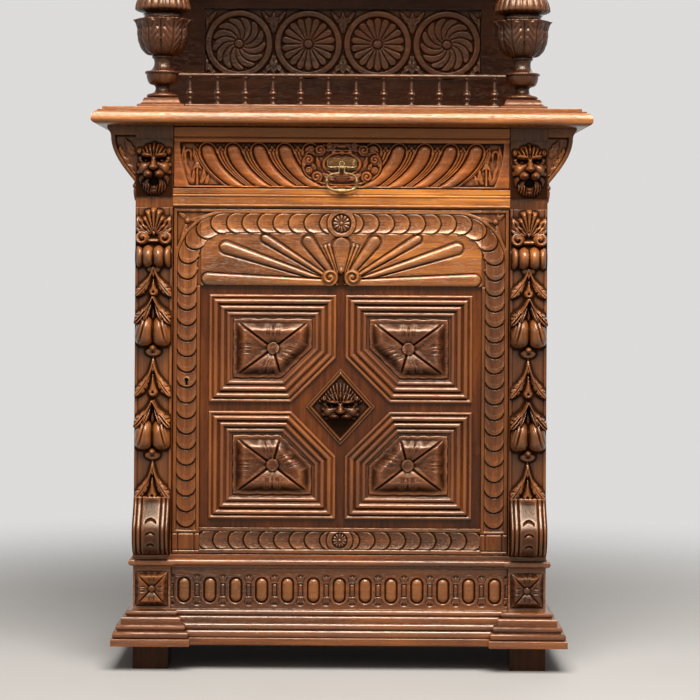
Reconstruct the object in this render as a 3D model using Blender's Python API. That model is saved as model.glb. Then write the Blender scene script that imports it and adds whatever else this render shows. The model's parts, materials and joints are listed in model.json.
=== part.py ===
"""Carved oak buffet in the Renaissance-revival manner, in metres, +Z up, front towards -Y.

A moulded plinth carries a one-door cupboard with a drawer over it. On its top board a
gallery and two turned columns stand before a panelled back, under a moulded canopy.
"""

import math

import bmesh
import bpy

for leftover in list(bpy.data.objects):
    bpy.data.objects.remove(leftover, do_unlink=True)

SHARP_EDGE = math.radians(35)

# Clearances
FIT = 0.0003                # between pieces that are seated on each other
DOOR_GAP = 0.002            # round the door leaf
DRAWER_GAP = 0.0015         # round the drawer front
PIN_GAP = 0.0003            # round a hinge pin, a lock bolt and the bail's bar

# Plan of the cupboard
TOP_WIDTH = 0.926
TOP_DEPTH = 0.480
TOP_OVERHANG = 0.060        # front edge of the top board past the posts' faces
TOP_SIDE_OVERHANG = 0.078   # its ends past the posts' sides
BODY_WIDTH = TOP_WIDTH - 2 * TOP_SIDE_OVERHANG
POST_WIDTH = 0.070
POST_DEPTH = 0.050
REAR_POST_WIDTH = 0.045
REAR_POST_DEPTH = 0.040

# Heights, from the floor up
FOOT_HEIGHT = 0.048
BASE_HEIGHT = 0.057         # stepped base moulding
DIE_HEIGHT = 0.083          # flat of the plinth above it
WAIST_HEIGHT = 0.0255       # moulded floor board
DOOR_OPENING = 0.6475
DRAWER_RAIL_HEIGHT = 0.0375
DRAWER_OPENING = 0.115
TOP_THICKNESS = 0.034

# Plinth
FOOT_SIDE = 0.066
BLOCK_STEP = 0.006          # corner blocks stand proud of the posts
BLOCK_DEPTH = 0.070
BASE_FLARE = 0.038
RAIL_SETBACK = 0.008        # frieze rail behind the corner blocks
RAIL_FLARE = 0.025
PLINTH_BOARD = 0.024
WAIST_NOSE = 0.008
BASE_PROFILE = (
    (1.0, 0.0), (1.0, 0.18), (0.92, 0.30), (0.70, 0.42), (0.62, 0.44), (0.58, 0.58),
    (0.42, 0.66), (0.38, 0.78), (0.22, 0.84), (0.16, 0.94), (0.0, 1.0),
)
WAIST_PROFILE = (
    (0.0, 0.0), (0.30, 0.08), (0.55, 0.18), (0.95, 0.26), (1.0, 0.40), (0.95, 0.54),
    (0.60, 0.60), (0.45, 0.70), (0.10, 1.0),
)

# Carcass boards
SIDE_THICKNESS = 0.020
SIDE_INSET = 0.003          # side panel behind the posts' outer faces
SIDE_FRAME = 0.060          # flat border of the side panel
SIDE_SINK = 0.008           # its ground below the border
SIDE_BEVEL = 0.022
TONGUE = 0.008              # panels enter their grooves by this much
BACK_THICKNESS = 0.012
BACK_INSET = 0.006
DRAWER_RAIL_DEPTH = 0.060
RAIL_BEAD = 0.004           # drawer rail's mouldings past the posts' faces
SHELF_LEVEL = 0.530
SHELF_THICKNESS = 0.018
RUNNER_HEIGHT = 0.020
RUNNER_LEDGE = 0.018        # what the drawer side rides on
GUIDE_HEIGHT = 0.014

# Top board: its edge as shares of the nose and of the thickness
TOP_NOSE = 0.020
TOP_PROFILE = (
    (0.80, 0.0), (0.25, 0.10), (0.0, 0.26), (0.08, 0.46), (0.35, 0.66), (0.60, 0.76),
    (0.65, 0.80), (1.0, 0.82), (1.0, 1.0),
)

# Carvings on the posts
LION_HEIGHT = 0.108
LION_RISE = 0.046
LION_BELOW_TOP = 0.024      # crown of the mane under the top board
DROP_MARGIN = 0.001         # carving inside the post's edges
DROP_STEP = 0.193           # from one fruit cluster to the next
DROP_RISE = 0.030
CONSOLE_HEIGHT = 0.108
CONSOLE_RISE = 0.046
CARVING_GROUND = 0.003
BRACKET_REACH = 0.047
BRACKET_HEIGHT = 0.088
BRACKET_DEPTH = 0.042
BRACKET_CAP_HEIGHT = 0.017
BRACKET_CAP_REACH = 0.054

# Door
DOOR_THICKNESS = 0.028
STILE_WIDTH = 0.050
TOP_RAIL_HEIGHT = 0.143
BOTTOM_RAIL_HEIGHT = 0.048
FIELD_SINK = 0.010          # flat field behind the frame's face
FIELD_THICKNESS = 0.010
FIELD_MARGIN = 0.016        # flat left round the panel mouldings
MUNTIN = 0.016
PANEL_CORNER = 0.084        # cut-off corner beside the lozenge
PANEL_MOULD_WIDTH = 0.043
PANEL_MOULD_RISE = 0.012
CUSHION_RISE = 0.013
PANEL_PROFILE = (
    (0.0, 0.0), (0.0, 0.35), (0.10, 0.62), (0.20, 0.45), (0.28, 0.80), (0.42, 1.0),
    (0.55, 0.72), (0.64, 0.88), (0.76, 0.60), (0.84, 0.30), (1.0, 0.08),
)
LOZENGE_HALF_WIDTH = 0.066
LOZENGE_HALF_HEIGHT = 0.073
LOZENGE_BORDER = 0.011
MASK_RISE = 0.026
VOLUTE_RADIUS = 0.014
VOLUTE_SPREAD = 0.0215      # from the middle of the fan
VOLUTE_RISE = 0.010
HINGE_FROM_EDGE = 0.020
HINGE_FROM_FACE = 0.008
HINGE_PIN_RADIUS = 0.004
HINGE_PIN_LENGTH = 0.014
HINGE_FLANGE_RADIUS = 0.0055
DOOR_KEY_LEVEL = 0.3235     # keyhole above the foot of the door

# Lock
KEYHOLE_RADIUS = 0.0042
KEYHOLE_SLOT = 0.0023       # half width
KEYHOLE_DROP = 0.0105       # from the round part's centre to the slot's foot
LINER_WALL = 0.001
LINER_DEPTH = 0.006
LOCK_WIDTH = 0.044
LOCK_HEIGHT = 0.070
LOCK_DEPTH = 0.014
LOCK_EDGE = 0.001           # case inside the stile's edge
LOCK_POCKET = 0.005
BOLT_LENGTH = 0.030
BOLT_HEIGHT = 0.016
BOLT_THICKNESS = 0.006
BOLT_ABOVE_KEY = 0.020
BOLT_TRAVEL = 0.008
MORTISE_GAP = 0.001

# Drawer
DRAWER_FRONT_THICKNESS = 0.022
DRAWER_BACK_ROOM = 0.042    # left behind the closed drawer
DRAWER_SIDE_THICKNESS = 0.012
DRAWER_SIDE_DROP = 0.012    # top edge of the sides under the top board
DRAWER_BOTTOM_THICKNESS = 0.006
DRAWER_BOTTOM_LIFT = 0.010
DRAWER_GROOVE = 0.005

# Drawer pull
PLATE_WIDTH = 0.056
PLATE_HEIGHT = 0.022
PLATE_THICKNESS = 0.002
PLATE_ABOVE_SILL = 0.037    # foot of the plate over the drawer rail
EYE_REACH = 0.008           # bail's bar in front of the plate
EYE_HALF_WIDTH = 0.0028
EYE_RADIUS = 0.0036
BAIL_WIRE = 0.0016          # radius
BAIL_NECK = 0.005           # half distance between the two necks
BAIL_HALF_WIDTH = 0.028
BAIL_HALF_HEIGHT = 0.0165
BAIL_DROP = 0.027           # bar to the middle of the loop

# Columns, from the board up
COLUMN_INSET = 0.045        # axis inside the posts' outer faces
COLUMN_SETBACK = 0.045      # axis behind the posts' faces
PEDESTAL_SIDE = 0.088
PEDESTAL_TOP = 0.060
PEDESTAL_HEIGHT = 0.020
TORUS_RADIUS = 0.029
TORUS_HEIGHT = 0.010
NECK_RADIUS = 0.0125
NECK_HEIGHT = 0.013
CUP_RADIUS = 0.030
CUP_HEIGHT = 0.033
SHOULDER_HEIGHT = 0.020
VASE_RADIUS = 0.050
VASE_HEIGHT = 0.076
THROAT_RADIUS = 0.034
THROAT_HEIGHT = 0.010
CUSHION_RADIUS = 0.053
CUSHION_HEIGHT = 0.042
SHAFT_RADIUS = 0.024
SHAFT_TAPER = 0.004
SHAFT_LENGTH = 0.165
CAPITAL_RADIUS = 0.036
CAPITAL_HEIGHT = 0.050
ABACUS_HEIGHT = 0.018
TURNED_SIDES = 20

# Gallery between the columns
GALLERY_HEIGHT = 0.069
GALLERY_SILL = 0.010
GALLERY_SILL_DEPTH = 0.024
GALLERY_RAIL = 0.007
GALLERY_RAIL_DEPTH = 0.014
BALUSTERS = 12
BALUSTER_RADIUS = 0.0064
BALUSTER_SIDES = 8
BALUSTER_PROFILE = (
    (0.75, 0.0), (0.70, 0.10), (0.45, 0.20), (0.80, 0.34), (1.0, 0.46), (0.80, 0.54),
    (0.45, 0.60), (0.38, 0.84), (0.75, 0.94), (0.75, 1.0),
)

# Panelled back behind the columns
BACK_FRAME_INSET = 0.010    # inside the posts' outer faces
BACK_FRAME_DEPTH = 0.026
BACK_STILE = 0.090
BACK_SILL = 0.0895
ROSETTE_PANEL_HEIGHT = 0.145
BACK_MIDDLE_RAIL = 0.046
BACK_TOP_RAIL = 0.050
NICHE_PANEL_THICKNESS = 0.012

# Canopy
SOFFIT_THICKNESS = 0.020
FRIEZE_HEIGHT = 0.070
FRIEZE_BOARD = 0.022
CORNICE_HEIGHT = 0.042
CORNICE_REACH = 0.044
CORNICE_PROFILE = (
    (0.0, 0.0), (0.16, 0.06), (0.20, 0.26), (0.34, 0.42), (0.62, 0.54), (0.86, 0.60),
    (0.90, 0.70), (1.0, 0.74), (1.0, 1.0),
)

# Planes and levels that the sizes give
FACE_Y = TOP_OVERHANG - TOP_DEPTH / 2
BACK_Y = TOP_DEPTH / 2
HALF = BODY_WIDTH / 2
BAY = HALF - POST_WIDTH
BLOCK_Y = FACE_Y - BLOCK_STEP
RAIL_Y = BLOCK_Y + RAIL_SETBACK
DIE_BASE = FOOT_HEIGHT + BASE_HEIGHT
DIE_TOP = DIE_BASE + DIE_HEIGHT
FLOOR = DIE_TOP + WAIST_HEIGHT
DOOR_HEAD = FLOOR + DOOR_OPENING
DRAWER_SILL = DOOR_HEAD + DRAWER_RAIL_HEIGHT
TOP_UNDER = DRAWER_SILL + DRAWER_OPENING
TOP_LEVEL = TOP_UNDER + TOP_THICKNESS
SIDE_OUT = HALF - SIDE_INSET
SIDE_IN = SIDE_OUT - SIDE_THICKNESS
POST_BACK = FACE_Y + POST_DEPTH
REAR_FACE = BACK_Y - REAR_POST_DEPTH
BACK_PANEL_Y = BACK_Y - BACK_INSET - BACK_THICKNESS
DOOR_X = BAY - DOOR_GAP
DOOR_FOOT = FLOOR + DOOR_GAP
DOOR_TOP = DOOR_HEAD - DOOR_GAP
DOOR_BACK = FACE_Y + DOOR_THICKNESS
FIELD_X = DOOR_X - STILE_WIDTH
FIELD_LOW = DOOR_FOOT + BOTTOM_RAIL_HEIGHT
FIELD_HIGH = DOOR_TOP - TOP_RAIL_HEIGHT
FIELD_Y = FACE_Y + FIELD_SINK
FIELD_Z = (FIELD_LOW + FIELD_HIGH) / 2
PIVOT_X = DOOR_X - HINGE_FROM_EDGE
PIVOT_Y = FACE_Y + HINGE_FROM_FACE
KEY_X = -DOOR_X + STILE_WIDTH / 2
KEY_Z = DOOR_FOOT + DOOR_KEY_LEVEL
LOCK_X = -DOOR_X + LOCK_EDGE
BOLT_Z = KEY_Z + BOLT_ABOVE_KEY
BOLT_Y = DOOR_BACK + FIT + LOCK_DEPTH / 2
DRAWER_X = BAY - DRAWER_GAP
DRAWER_BACK = BACK_PANEL_Y - DRAWER_BACK_ROOM
DRAWER_TOP = TOP_UNDER - DRAWER_SIDE_DROP
DRAWER_FOOT = DRAWER_SILL + FIT
PLATE_FOOT = DRAWER_SILL + PLATE_ABOVE_SILL
PLATE_Y = FACE_Y - FIT - PLATE_THICKNESS
BAR_Y = PLATE_Y - EYE_REACH
BAR_Z = PLATE_FOOT + EYE_RADIUS / 2
COLUMN_SPREAD = HALF - COLUMN_INSET
COLUMN_Y = FACE_Y + COLUMN_SETBACK
COLUMN_FOOT = TOP_LEVEL + FIT
SHAFT_FOOT = (COLUMN_FOOT + PEDESTAL_HEIGHT + TORUS_HEIGHT + NECK_HEIGHT + CUP_HEIGHT
              + SHOULDER_HEIGHT + VASE_HEIGHT + THROAT_HEIGHT + CUSHION_HEIGHT)
COLUMN_TOP = SHAFT_FOOT + SHAFT_LENGTH + CAPITAL_HEIGHT + ABACUS_HEIGHT
SOFFIT = COLUMN_TOP + FIT
FRIEZE_FOOT = SOFFIT + SOFFIT_THICKNESS
CORNICE_FOOT = FRIEZE_FOOT + FRIEZE_HEIGHT


def finish(name, colour, roughness, metallic=0.0):
    """A plain material."""
    material = bpy.data.materials.new(name)
    material.use_nodes = True
    shader = material.node_tree.nodes["Principled BSDF"]
    shader.inputs["Base Color"].default_value = (*colour, 1.0)
    shader.inputs["Roughness"].default_value = roughness
    shader.inputs["Metallic"].default_value = metallic
    return material


def link(name, mesh_data):
    """An object in the scene from a bmesh, which it uses up."""
    mesh = bpy.data.meshes.new(name)
    mesh_data.to_mesh(mesh)
    mesh_data.free()
    piece = bpy.data.objects.new(name, mesh)
    bpy.context.scene.collection.objects.link(piece)
    return piece


def add(name, shape, material, axis=None):
    """A named piece. Its origin is under its middle or, for a moving one, on its axis."""
    if axis is None:
        spots = [v.co for v in shape.verts]
        low = [min(s[i] for s in spots) for i in range(3)]
        high = [max(s[i] for s in spots) for i in range(3)]
        origin = ((low[0] + high[0]) / 2, (low[1] + high[1]) / 2, low[2])
    else:
        origin = place(axis)
    bmesh.ops.translate(shape, vec=[-x for x in origin], verts=shape.verts)
    piece = link(name, shape)
    piece.data.materials.append(material)
    piece.data.shade_smooth()
    piece.data.set_sharp_from_angle(angle=SHARP_EDGE)
    if axis is None:
        piece.location = origin
    else:
        piece.parent = axis
    return piece


def add_pair(name, build, material):
    """The right-hand piece that build gives, and its mirror image on the left."""
    for side in ("left", "right"):
        shape = build()
        if side == "left":
            flip(shape)
        add(f"{name}_{side}", shape, material)


def place(axis):
    """Where an empty stands in the room."""
    spot = axis.location.copy()
    while axis.parent is not None:
        axis = axis.parent
        spot += axis.location
    return spot


def empty(name, location, parent=None):
    """An empty on a joint's axis, at a place in the room."""
    axis = bpy.data.objects.new(name, None)
    bpy.context.scene.collection.objects.link(axis)
    axis.location = location
    if parent is not None:
        axis.parent = parent
        axis.location -= place(parent)
    return axis


def flip(shape, axis=0, about=0.0):
    """Mirrors a shape in the plane across one axis."""
    for v in shape.verts:
        v.co[axis] = 2 * about - v.co[axis]
    bmesh.ops.reverse_faces(shape, faces=shape.faces)


def lofted(rings):
    """A closed solid through rings of equally many points."""
    shape = bmesh.new()
    loops = [[shape.verts.new(p) for p in ring] for ring in rings]
    count = len(loops[0])
    for lower, upper in zip(loops, loops[1:]):
        for i in range(count):
            j = (i + 1) % count
            shape.faces.new((lower[i], lower[j], upper[j], upper[i]))
    shape.faces.new(loops[0][::-1])
    shape.faces.new(loops[-1])
    bmesh.ops.recalc_face_normals(shape, faces=shape.faces)
    return shape


def prism(outline, axis, start, end):
    """An outline pushed along X, Y or Z. It is given in the two other axes, in order."""
    place = {
        "X": lambda a, b, along: (along, a, b),
        "Y": lambda a, b, along: (a, along, b),
        "Z": lambda a, b, along: (a, b, along),
    }[axis]
    return lofted([[place(a, b, along) for a, b in outline] for along in (start, end)])


def box(x, y, z):
    """A board between two limits on each axis."""
    return prism([(x[0], y[0]), (x[1], y[0]), (x[1], y[1]), (x[0], y[1])], "Z", *z)


def grown(outline, reach):
    """An outline with each edge moved out by its own reach, or all by one."""
    area = sum(x0 * y1 - x1 * y0
               for (x0, y0), (x1, y1) in zip(outline, outline[1:] + outline[:1]))
    turn = math.copysign(1.0, area)
    reaches = reach if isinstance(reach, (list, tuple)) else [reach] * len(outline)
    edges = []
    for (x0, y0), (x1, y1), out in zip(outline, outline[1:] + outline[:1], reaches):
        length = math.hypot(x1 - x0, y1 - y0)
        across, up = turn * (y1 - y0) / length, turn * (x0 - x1) / length
        edges.append((across, up, across * x0 + up * y0 + out))
    corners = []
    for (a, b, c), (d, e, f) in zip(edges[-1:] + edges[:-1], edges):
        cross = a * e - d * b
        corners.append(((c * e - f * b) / cross, (a * f - d * c) / cross))
    return corners


def moulded(outline, moving, profile):
    """A slab whose edges follow a profile of (reach, level). Edges that aren't moving stay straight."""
    rings = []
    for reach, level in profile:
        ring = grown(outline, [reach * edge for edge in moving])
        rings.append([(x, y, level) for x, y in ring])
    return lofted(rings)


def turned(profile, centre, sides):
    """A turned solid about a vertical axis, from (radius, level) pairs."""
    angles = [2 * math.pi * i / sides for i in range(sides)]
    return lofted([
        [(centre[0] + r * math.cos(a), centre[1] + r * math.sin(a), z) for a in angles]
        for r, z in profile
    ])


def relief(x, y, z, columns, rows, rise):
    """A carving on the plane y: a grid that stands out towards -Y by rise(across, up)."""
    shape = bmesh.new()
    middle = (x[0] + x[1]) / 2
    front = []
    for j in range(rows + 1):
        level = z[0] + (z[1] - z[0]) * j / rows
        line = []
        for i in range(columns + 1):
            across = x[0] + (x[1] - x[0]) * i / columns
            line.append(shape.verts.new((across, y - rise(across - middle, level - z[0]), level)))
        front.append(line)
    back = [shape.verts.new((a, y, b)) for a, b in ((x[0], z[0]), (x[1], z[0]), (x[1], z[1]), (x[0], z[1]))]
    for lower, upper in zip(front, front[1:]):
        for i in range(columns):
            shape.faces.new((lower[i], lower[i + 1], upper[i + 1], upper[i]))
    left = [line[0] for line in front]
    right = [line[-1] for line in front]
    shape.faces.new(back)
    shape.faces.new(front[0] + [back[1], back[0]])
    shape.faces.new(right + [back[2], back[1]])
    shape.faces.new(front[-1][::-1] + [back[3], back[2]])
    shape.faces.new(left[::-1] + [back[0], back[3]])
    bmesh.ops.recalc_face_normals(shape, faces=shape.faces)
    return shape


def combined(body, tool, operation):
    """Two solids through a Boolean, as one new shape."""
    piece, other = link("body", body), link("tool", tool)
    change = piece.modifiers.new("combine", "BOOLEAN")
    change.operation = operation
    change.object = other
    graph = bpy.context.evaluated_depsgraph_get()
    mesh = bpy.data.meshes.new_from_object(piece.evaluated_get(graph))
    shape = bmesh.new()
    shape.from_mesh(mesh)
    for spare in (piece, other):
        bpy.data.objects.remove(spare, do_unlink=True)
    bpy.data.meshes.remove(mesh)
    return shape


def less(body, *cutters):
    """The body with the cutters taken out of it."""
    for cutter in cutters:
        body = combined(body, cutter, "DIFFERENCE")
    return body


def joined(body, *others):
    """The body and what overlaps it as one solid."""
    for other in others:
        body = combined(body, other, "UNION")
    return body


def dome(across, up, radius_across, radius_up, rise):
    """Height of a half-ellipsoid over a point, from its centre."""
    inside = 1 - (across / radius_across) ** 2 - (up / radius_up) ** 2
    return rise * math.sqrt(inside) if inside > 0 else 0.0


OAK = finish("waxed_oak", (0.31, 0.125, 0.04), 0.40)
SHADED_OAK = finish("shaded_oak", (0.15, 0.06, 0.025), 0.48)
INNER_OAK = finish("inner_oak", (0.42, 0.25, 0.12), 0.65)
BRASS = finish("aged_brass", (0.50, 0.36, 0.16), 0.38, 1.0)
IRON = finish("lock_iron", (0.10, 0.09, 0.08), 0.50, 1.0)


# Plinth

def base_rail_outline():
    """Section of the front plinth rail, in Y and Z."""
    moulding = [(RAIL_Y - out * RAIL_FLARE, FOOT_HEIGHT + up * BASE_HEIGHT) for out, up in BASE_PROFILE]
    back = RAIL_Y + PLINTH_BOARD
    return moulding + [(RAIL_Y, DIE_TOP), (back, DIE_TOP), (back, FOOT_HEIGHT)]


def plinth_block():
    """Corner block. Its base moulding returns on three sides and is scribed over the rail's."""
    outline = [(BAY, BLOCK_Y), (HALF, BLOCK_Y), (HALF, BLOCK_Y + BLOCK_DEPTH), (BAY, BLOCK_Y + BLOCK_DEPTH)]
    profile = [(out * BASE_FLARE, FOOT_HEIGHT + up * BASE_HEIGHT) for out, up in BASE_PROFILE]
    block = moulded(outline, (1, 1, 0, 1), profile + [(0.0, DIE_TOP)])
    scribe = prism(grown(base_rail_outline(), FIT), "X", BAY - 2 * BASE_FLARE, BAY)
    return less(block, scribe)


def plinth_side():
    outline = [(HALF + out * BASE_FLARE, FOOT_HEIGHT + up * BASE_HEIGHT) for out, up in BASE_PROFILE]
    outline += [(HALF, DIE_TOP), (HALF - PLINTH_BOARD, DIE_TOP), (HALF - PLINTH_BOARD, FOOT_HEIGHT)]
    return prism(outline, "Y", BLOCK_Y + BLOCK_DEPTH + FIT, BACK_Y)


def front_foot():
    return box((HALF - FOOT_SIDE, HALF), (BLOCK_Y, BLOCK_Y + FOOT_SIDE), (0, FOOT_HEIGHT - FIT))


def rear_foot():
    return box((HALF - FOOT_SIDE, HALF), (BACK_Y - FOOT_SIDE, BACK_Y), (0, FOOT_HEIGHT - FIT))


def bottom_board():
    """Floor of the cupboard. Its moulded edge breaks forward over the corner blocks."""
    outline = [
        (-HALF, BACK_Y), (-HALF, BLOCK_Y), (-BAY, BLOCK_Y), (-BAY, RAIL_Y),
        (BAY, RAIL_Y), (BAY, BLOCK_Y), (HALF, BLOCK_Y), (HALF, BACK_Y),
    ]
    foot = DIE_TOP + FIT
    profile = [(out * WAIST_NOSE, foot + up * (FLOOR - foot)) for out, up in WAIST_PROFILE]
    return moulded(outline, (1, 1, 1, 1, 1, 1, 1, 0), profile)


add_pair("foot_front", front_foot, OAK)
add_pair("foot_rear", rear_foot, OAK)
add_pair("plinth_block", plinth_block, OAK)
add_pair("plinth_side", plinth_side, OAK)
add("plinth_rail_front", prism(base_rail_outline(), "X", FIT - BAY, BAY - FIT), OAK)
add("plinth_rail_back",
    box((PLINTH_BOARD + FIT - HALF, HALF - PLINTH_BOARD - FIT), (BACK_Y - PLINTH_BOARD, BACK_Y),
        (FOOT_HEIGHT, DIE_TOP)),
    SHADED_OAK)
add("bottom_board", bottom_board(), OAK)


# Carcass

def front_post():
    """Front post, grooved behind for the side panel."""
    left, right = SIDE_IN - FIT, SIDE_OUT + FIT
    ground = POST_BACK - TONGUE - FIT
    outline = [
        (BAY, FACE_Y), (HALF, FACE_Y), (HALF, POST_BACK), (right, POST_BACK), (right, ground),
        (left, ground), (left, POST_BACK), (BAY, POST_BACK),
    ]
    return prism(outline, "Z", FLOOR + FIT, TOP_UNDER - FIT)


def rear_post():
    """Rear post, grooved for the side panel and for the back panel."""
    inner = HALF - REAR_POST_WIDTH
    left, right = SIDE_IN - FIT, SIDE_OUT + FIT
    low, high = BACK_PANEL_Y - FIT, BACK_PANEL_Y + BACK_THICKNESS + FIT
    ground = REAR_FACE + TONGUE + FIT
    outline = [
        (inner, REAR_FACE), (left, REAR_FACE), (left, ground), (right, ground), (right, REAR_FACE),
        (HALF, REAR_FACE), (HALF, BACK_Y), (inner, BACK_Y), (inner, high),
        (inner + TONGUE + FIT, high), (inner + TONGUE + FIT, low), (inner, low),
    ]
    return prism(outline, "Z", FLOOR + FIT, TOP_UNDER - FIT)


def side_panel():
    """Sunk and fielded side, let into both posts and housed for the shelf."""
    edge = [
        (POST_BACK - TONGUE, FLOOR + FIT), (REAR_FACE + TONGUE, FLOOR + FIT),
        (REAR_FACE + TONGUE, TOP_UNDER - FIT), (POST_BACK - TONGUE, TOP_UNDER - FIT),
    ]
    border = TONGUE + SIDE_FRAME
    steps = (
        (0.0, SIDE_IN), (0.0, SIDE_OUT), (border, SIDE_OUT), (border + SIDE_SINK, SIDE_OUT - SIDE_SINK),
        (border + SIDE_SINK + SIDE_BEVEL, SIDE_OUT - SIDE_SINK / 4),
    )
    board = lofted([[(x, y, z) for y, z in grown(edge, -inset)] for inset, x in steps])
    housing = box(
        (SIDE_IN - TONGUE, SIDE_IN + TONGUE / 2 + FIT), (POST_BACK, REAR_FACE),
        (SHELF_LEVEL - FIT, SHELF_LEVEL + SHELF_THICKNESS + FIT))
    return less(board, housing)


def drawer_rail():
    """Rail between the door and the drawer, with a bead along both edges."""
    bead = DRAWER_RAIL_HEIGHT / 5
    face, proud, back = FACE_Y, FACE_Y - RAIL_BEAD, FACE_Y + DRAWER_RAIL_DEPTH
    outline = [
        (back, DOOR_HEAD), (face, DOOR_HEAD), (proud, DOOR_HEAD + bead / 3), (proud, DOOR_HEAD + bead),
        (face - RAIL_BEAD / 2, DOOR_HEAD + bead), (face - RAIL_BEAD / 2, DRAWER_SILL - bead),
        (face, DRAWER_SILL - bead), (proud, DRAWER_SILL - bead / 2), (face, DRAWER_SILL),
        (back, DRAWER_SILL),
    ]
    return prism(outline, "X", FIT - BAY, BAY - FIT)


def drawer_runner():
    """Ledge under the drawer side, with a guide beside it."""
    inner = DRAWER_X - DRAWER_SIDE_THICKNESS - (RUNNER_LEDGE - DRAWER_SIDE_THICKNESS)
    guide = DRAWER_X + DRAWER_GAP
    outer = SIDE_IN - FIT
    outline = [
        (inner, DRAWER_SILL - RUNNER_HEIGHT), (outer, DRAWER_SILL - RUNNER_HEIGHT),
        (outer, DRAWER_SILL + GUIDE_HEIGHT), (guide, DRAWER_SILL + GUIDE_HEIGHT),
        (guide, DRAWER_SILL), (inner, DRAWER_SILL),
    ]
    return prism(outline, "Y", FACE_Y + DRAWER_RAIL_DEPTH + FIT, REAR_FACE - FIT)


def lock_mortise():
    """Pocket in the left post that takes the lock bolt."""
    reach = BOLT_TRAVEL - DOOR_GAP - LOCK_EDGE + MORTISE_GAP
    thick = BOLT_THICKNESS / 2 + MORTISE_GAP
    high = BOLT_HEIGHT / 2 + MORTISE_GAP
    return box((-BAY - reach, DOOR_GAP - BAY), (BOLT_Y - thick, BOLT_Y + thick),
               (BOLT_Z - high, BOLT_Z + high))


left_post = front_post()
flip(left_post)
add("front_post_left", less(left_post, lock_mortise()), OAK)
add("front_post_right", front_post(), OAK)
add_pair("rear_post", rear_post, OAK)
add_pair("side_panel", side_panel, OAK)
back_edge = HALF - REAR_POST_WIDTH + TONGUE
add("back_panel",
    box((-back_edge, back_edge), (BACK_PANEL_Y, BACK_PANEL_Y + BACK_THICKNESS),
        (FLOOR + FIT, TOP_UNDER - FIT)),
    SHADED_OAK)
add("drawer_rail", drawer_rail(), OAK)
add_pair("drawer_runner", drawer_runner, INNER_OAK)
shelf_edge = SIDE_IN + TONGUE / 2
add("shelf",
    box((-shelf_edge, shelf_edge), (POST_BACK + FIT, REAR_FACE - FIT),
        (SHELF_LEVEL, SHELF_LEVEL + SHELF_THICKNESS)),
    INNER_OAK)


# Carvings on the posts

LION_DOMES = (
    # across, below the crown, half width, half height, share of the rise
    (0.0, 0.044, 0.0335, 0.044, 0.42),      # mane
    (0.0, 0.042, 0.0250, 0.036, 0.72),      # skull
    (0.0, 0.028, 0.0200, 0.011, 0.82),      # brow
    (0.0, 0.054, 0.0130, 0.014, 1.00),      # muzzle
    (-0.015, 0.054, 0.0090, 0.010, 0.74),   # cheeks
    (0.015, 0.054, 0.0090, 0.010, 0.74),
    (0.0, 0.074, 0.0120, 0.010, 0.70),      # chin
    (0.0, 0.090, 0.0180, 0.016, 0.36),      # beard
)
LEAF_DOMES = (
    # across, below the start of the motif, half width, half height, share of the rise
    (-0.018, 0.022, 0.0150, 0.017, 0.36),
    (0.018, 0.022, 0.0150, 0.017, 0.36),
    (0.0, 0.010, 0.0070, 0.020, 0.30),
)
CROWN_DOMES = (
    (0.0, 0.024, 0.0200, 0.024, 0.50),      # leaf at the head of the drop
    (-0.020, 0.054, 0.0135, 0.013, 0.70),   # two volutes
    (0.020, 0.054, 0.0135, 0.013, 0.70),
    (-0.018, 0.083, 0.0160, 0.019, 0.95),   # swelling under them
    (0.018, 0.083, 0.0160, 0.019, 0.95),
    (-0.018, 0.145, 0.0150, 0.019, 0.36),   # two leaves and a bud
    (0.018, 0.145, 0.0150, 0.019, 0.36),
    (0.0, 0.156, 0.0095, 0.013, 0.50),
)
CLUSTER_DOMES = LEAF_DOMES + (
    (-0.016, 0.058, 0.0160, 0.024, 1.00),   # two fruits
    (0.016, 0.058, 0.0160, 0.024, 1.00),
    (0.0, 0.096, 0.0150, 0.012, 0.55),      # bud
    (-0.018, 0.160, 0.0150, 0.019, 0.36),   # two leaves and a bud
    (0.018, 0.160, 0.0150, 0.019, 0.36),
    (0.0, 0.169, 0.0090, 0.013, 0.45),
)
CLUSTER_START = 0.172       # first cluster below the head of the drop
CLUSTERS = 2
CONSOLE_CREST = 0.30        # fullest point of the scroll, as a share of its height
LION_GRID = (12, 18)
DROP_GRID = (12, 60)


def carved(domes, across, down, rise):
    """Highest of several domes over a point."""
    return max(dome(across - x, down - z, a, b, share * rise) for x, z, a, b, share in domes)


def lion_mask():
    """Lion's head in high relief on the upper end of a post."""
    low = TOP_UNDER - LION_BELOW_TOP - LION_HEIGHT

    def rise(across, up):
        return CARVING_GROUND + carved(LION_DOMES, across, LION_HEIGHT - up, LION_RISE - CARVING_GROUND)

    return relief((BAY + DROP_MARGIN, HALF - DROP_MARGIN), FACE_Y - FIT, (low, low + LION_HEIGHT),
                  *LION_GRID, rise)


def console(up):
    """How far the scroll at the foot of the drop stands out, at a height over its foot."""
    share = up / CONSOLE_HEIGHT
    if share >= 1:
        return 0.0
    if share < CONSOLE_CREST:
        return CONSOLE_RISE * math.sqrt(1 - 0.75 * (1 - share / CONSOLE_CREST) ** 2)
    past = (share - CONSOLE_CREST) / (1 - CONSOLE_CREST)
    return CONSOLE_RISE * (0.25 + 0.75 * math.cos(math.pi / 2 * past))


def fruit_drop():
    """Festoon of leaves and fruit down the post, over a scroll."""
    low, high = FLOOR + FIT, DOOR_HEAD

    def rise(across, up):
        down = high - low - up
        levels = [carved(CROWN_DOMES, across, down, DROP_RISE), console(up)]
        for i in range(CLUSTERS):
            levels.append(carved(CLUSTER_DOMES, across, down - CLUSTER_START - i * DROP_STEP, DROP_RISE))
        return CARVING_GROUND + max(levels)

    return relief((BAY + DROP_MARGIN, HALF - DROP_MARGIN), FACE_Y - FIT, (low, high), *DROP_GRID, rise)


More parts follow.
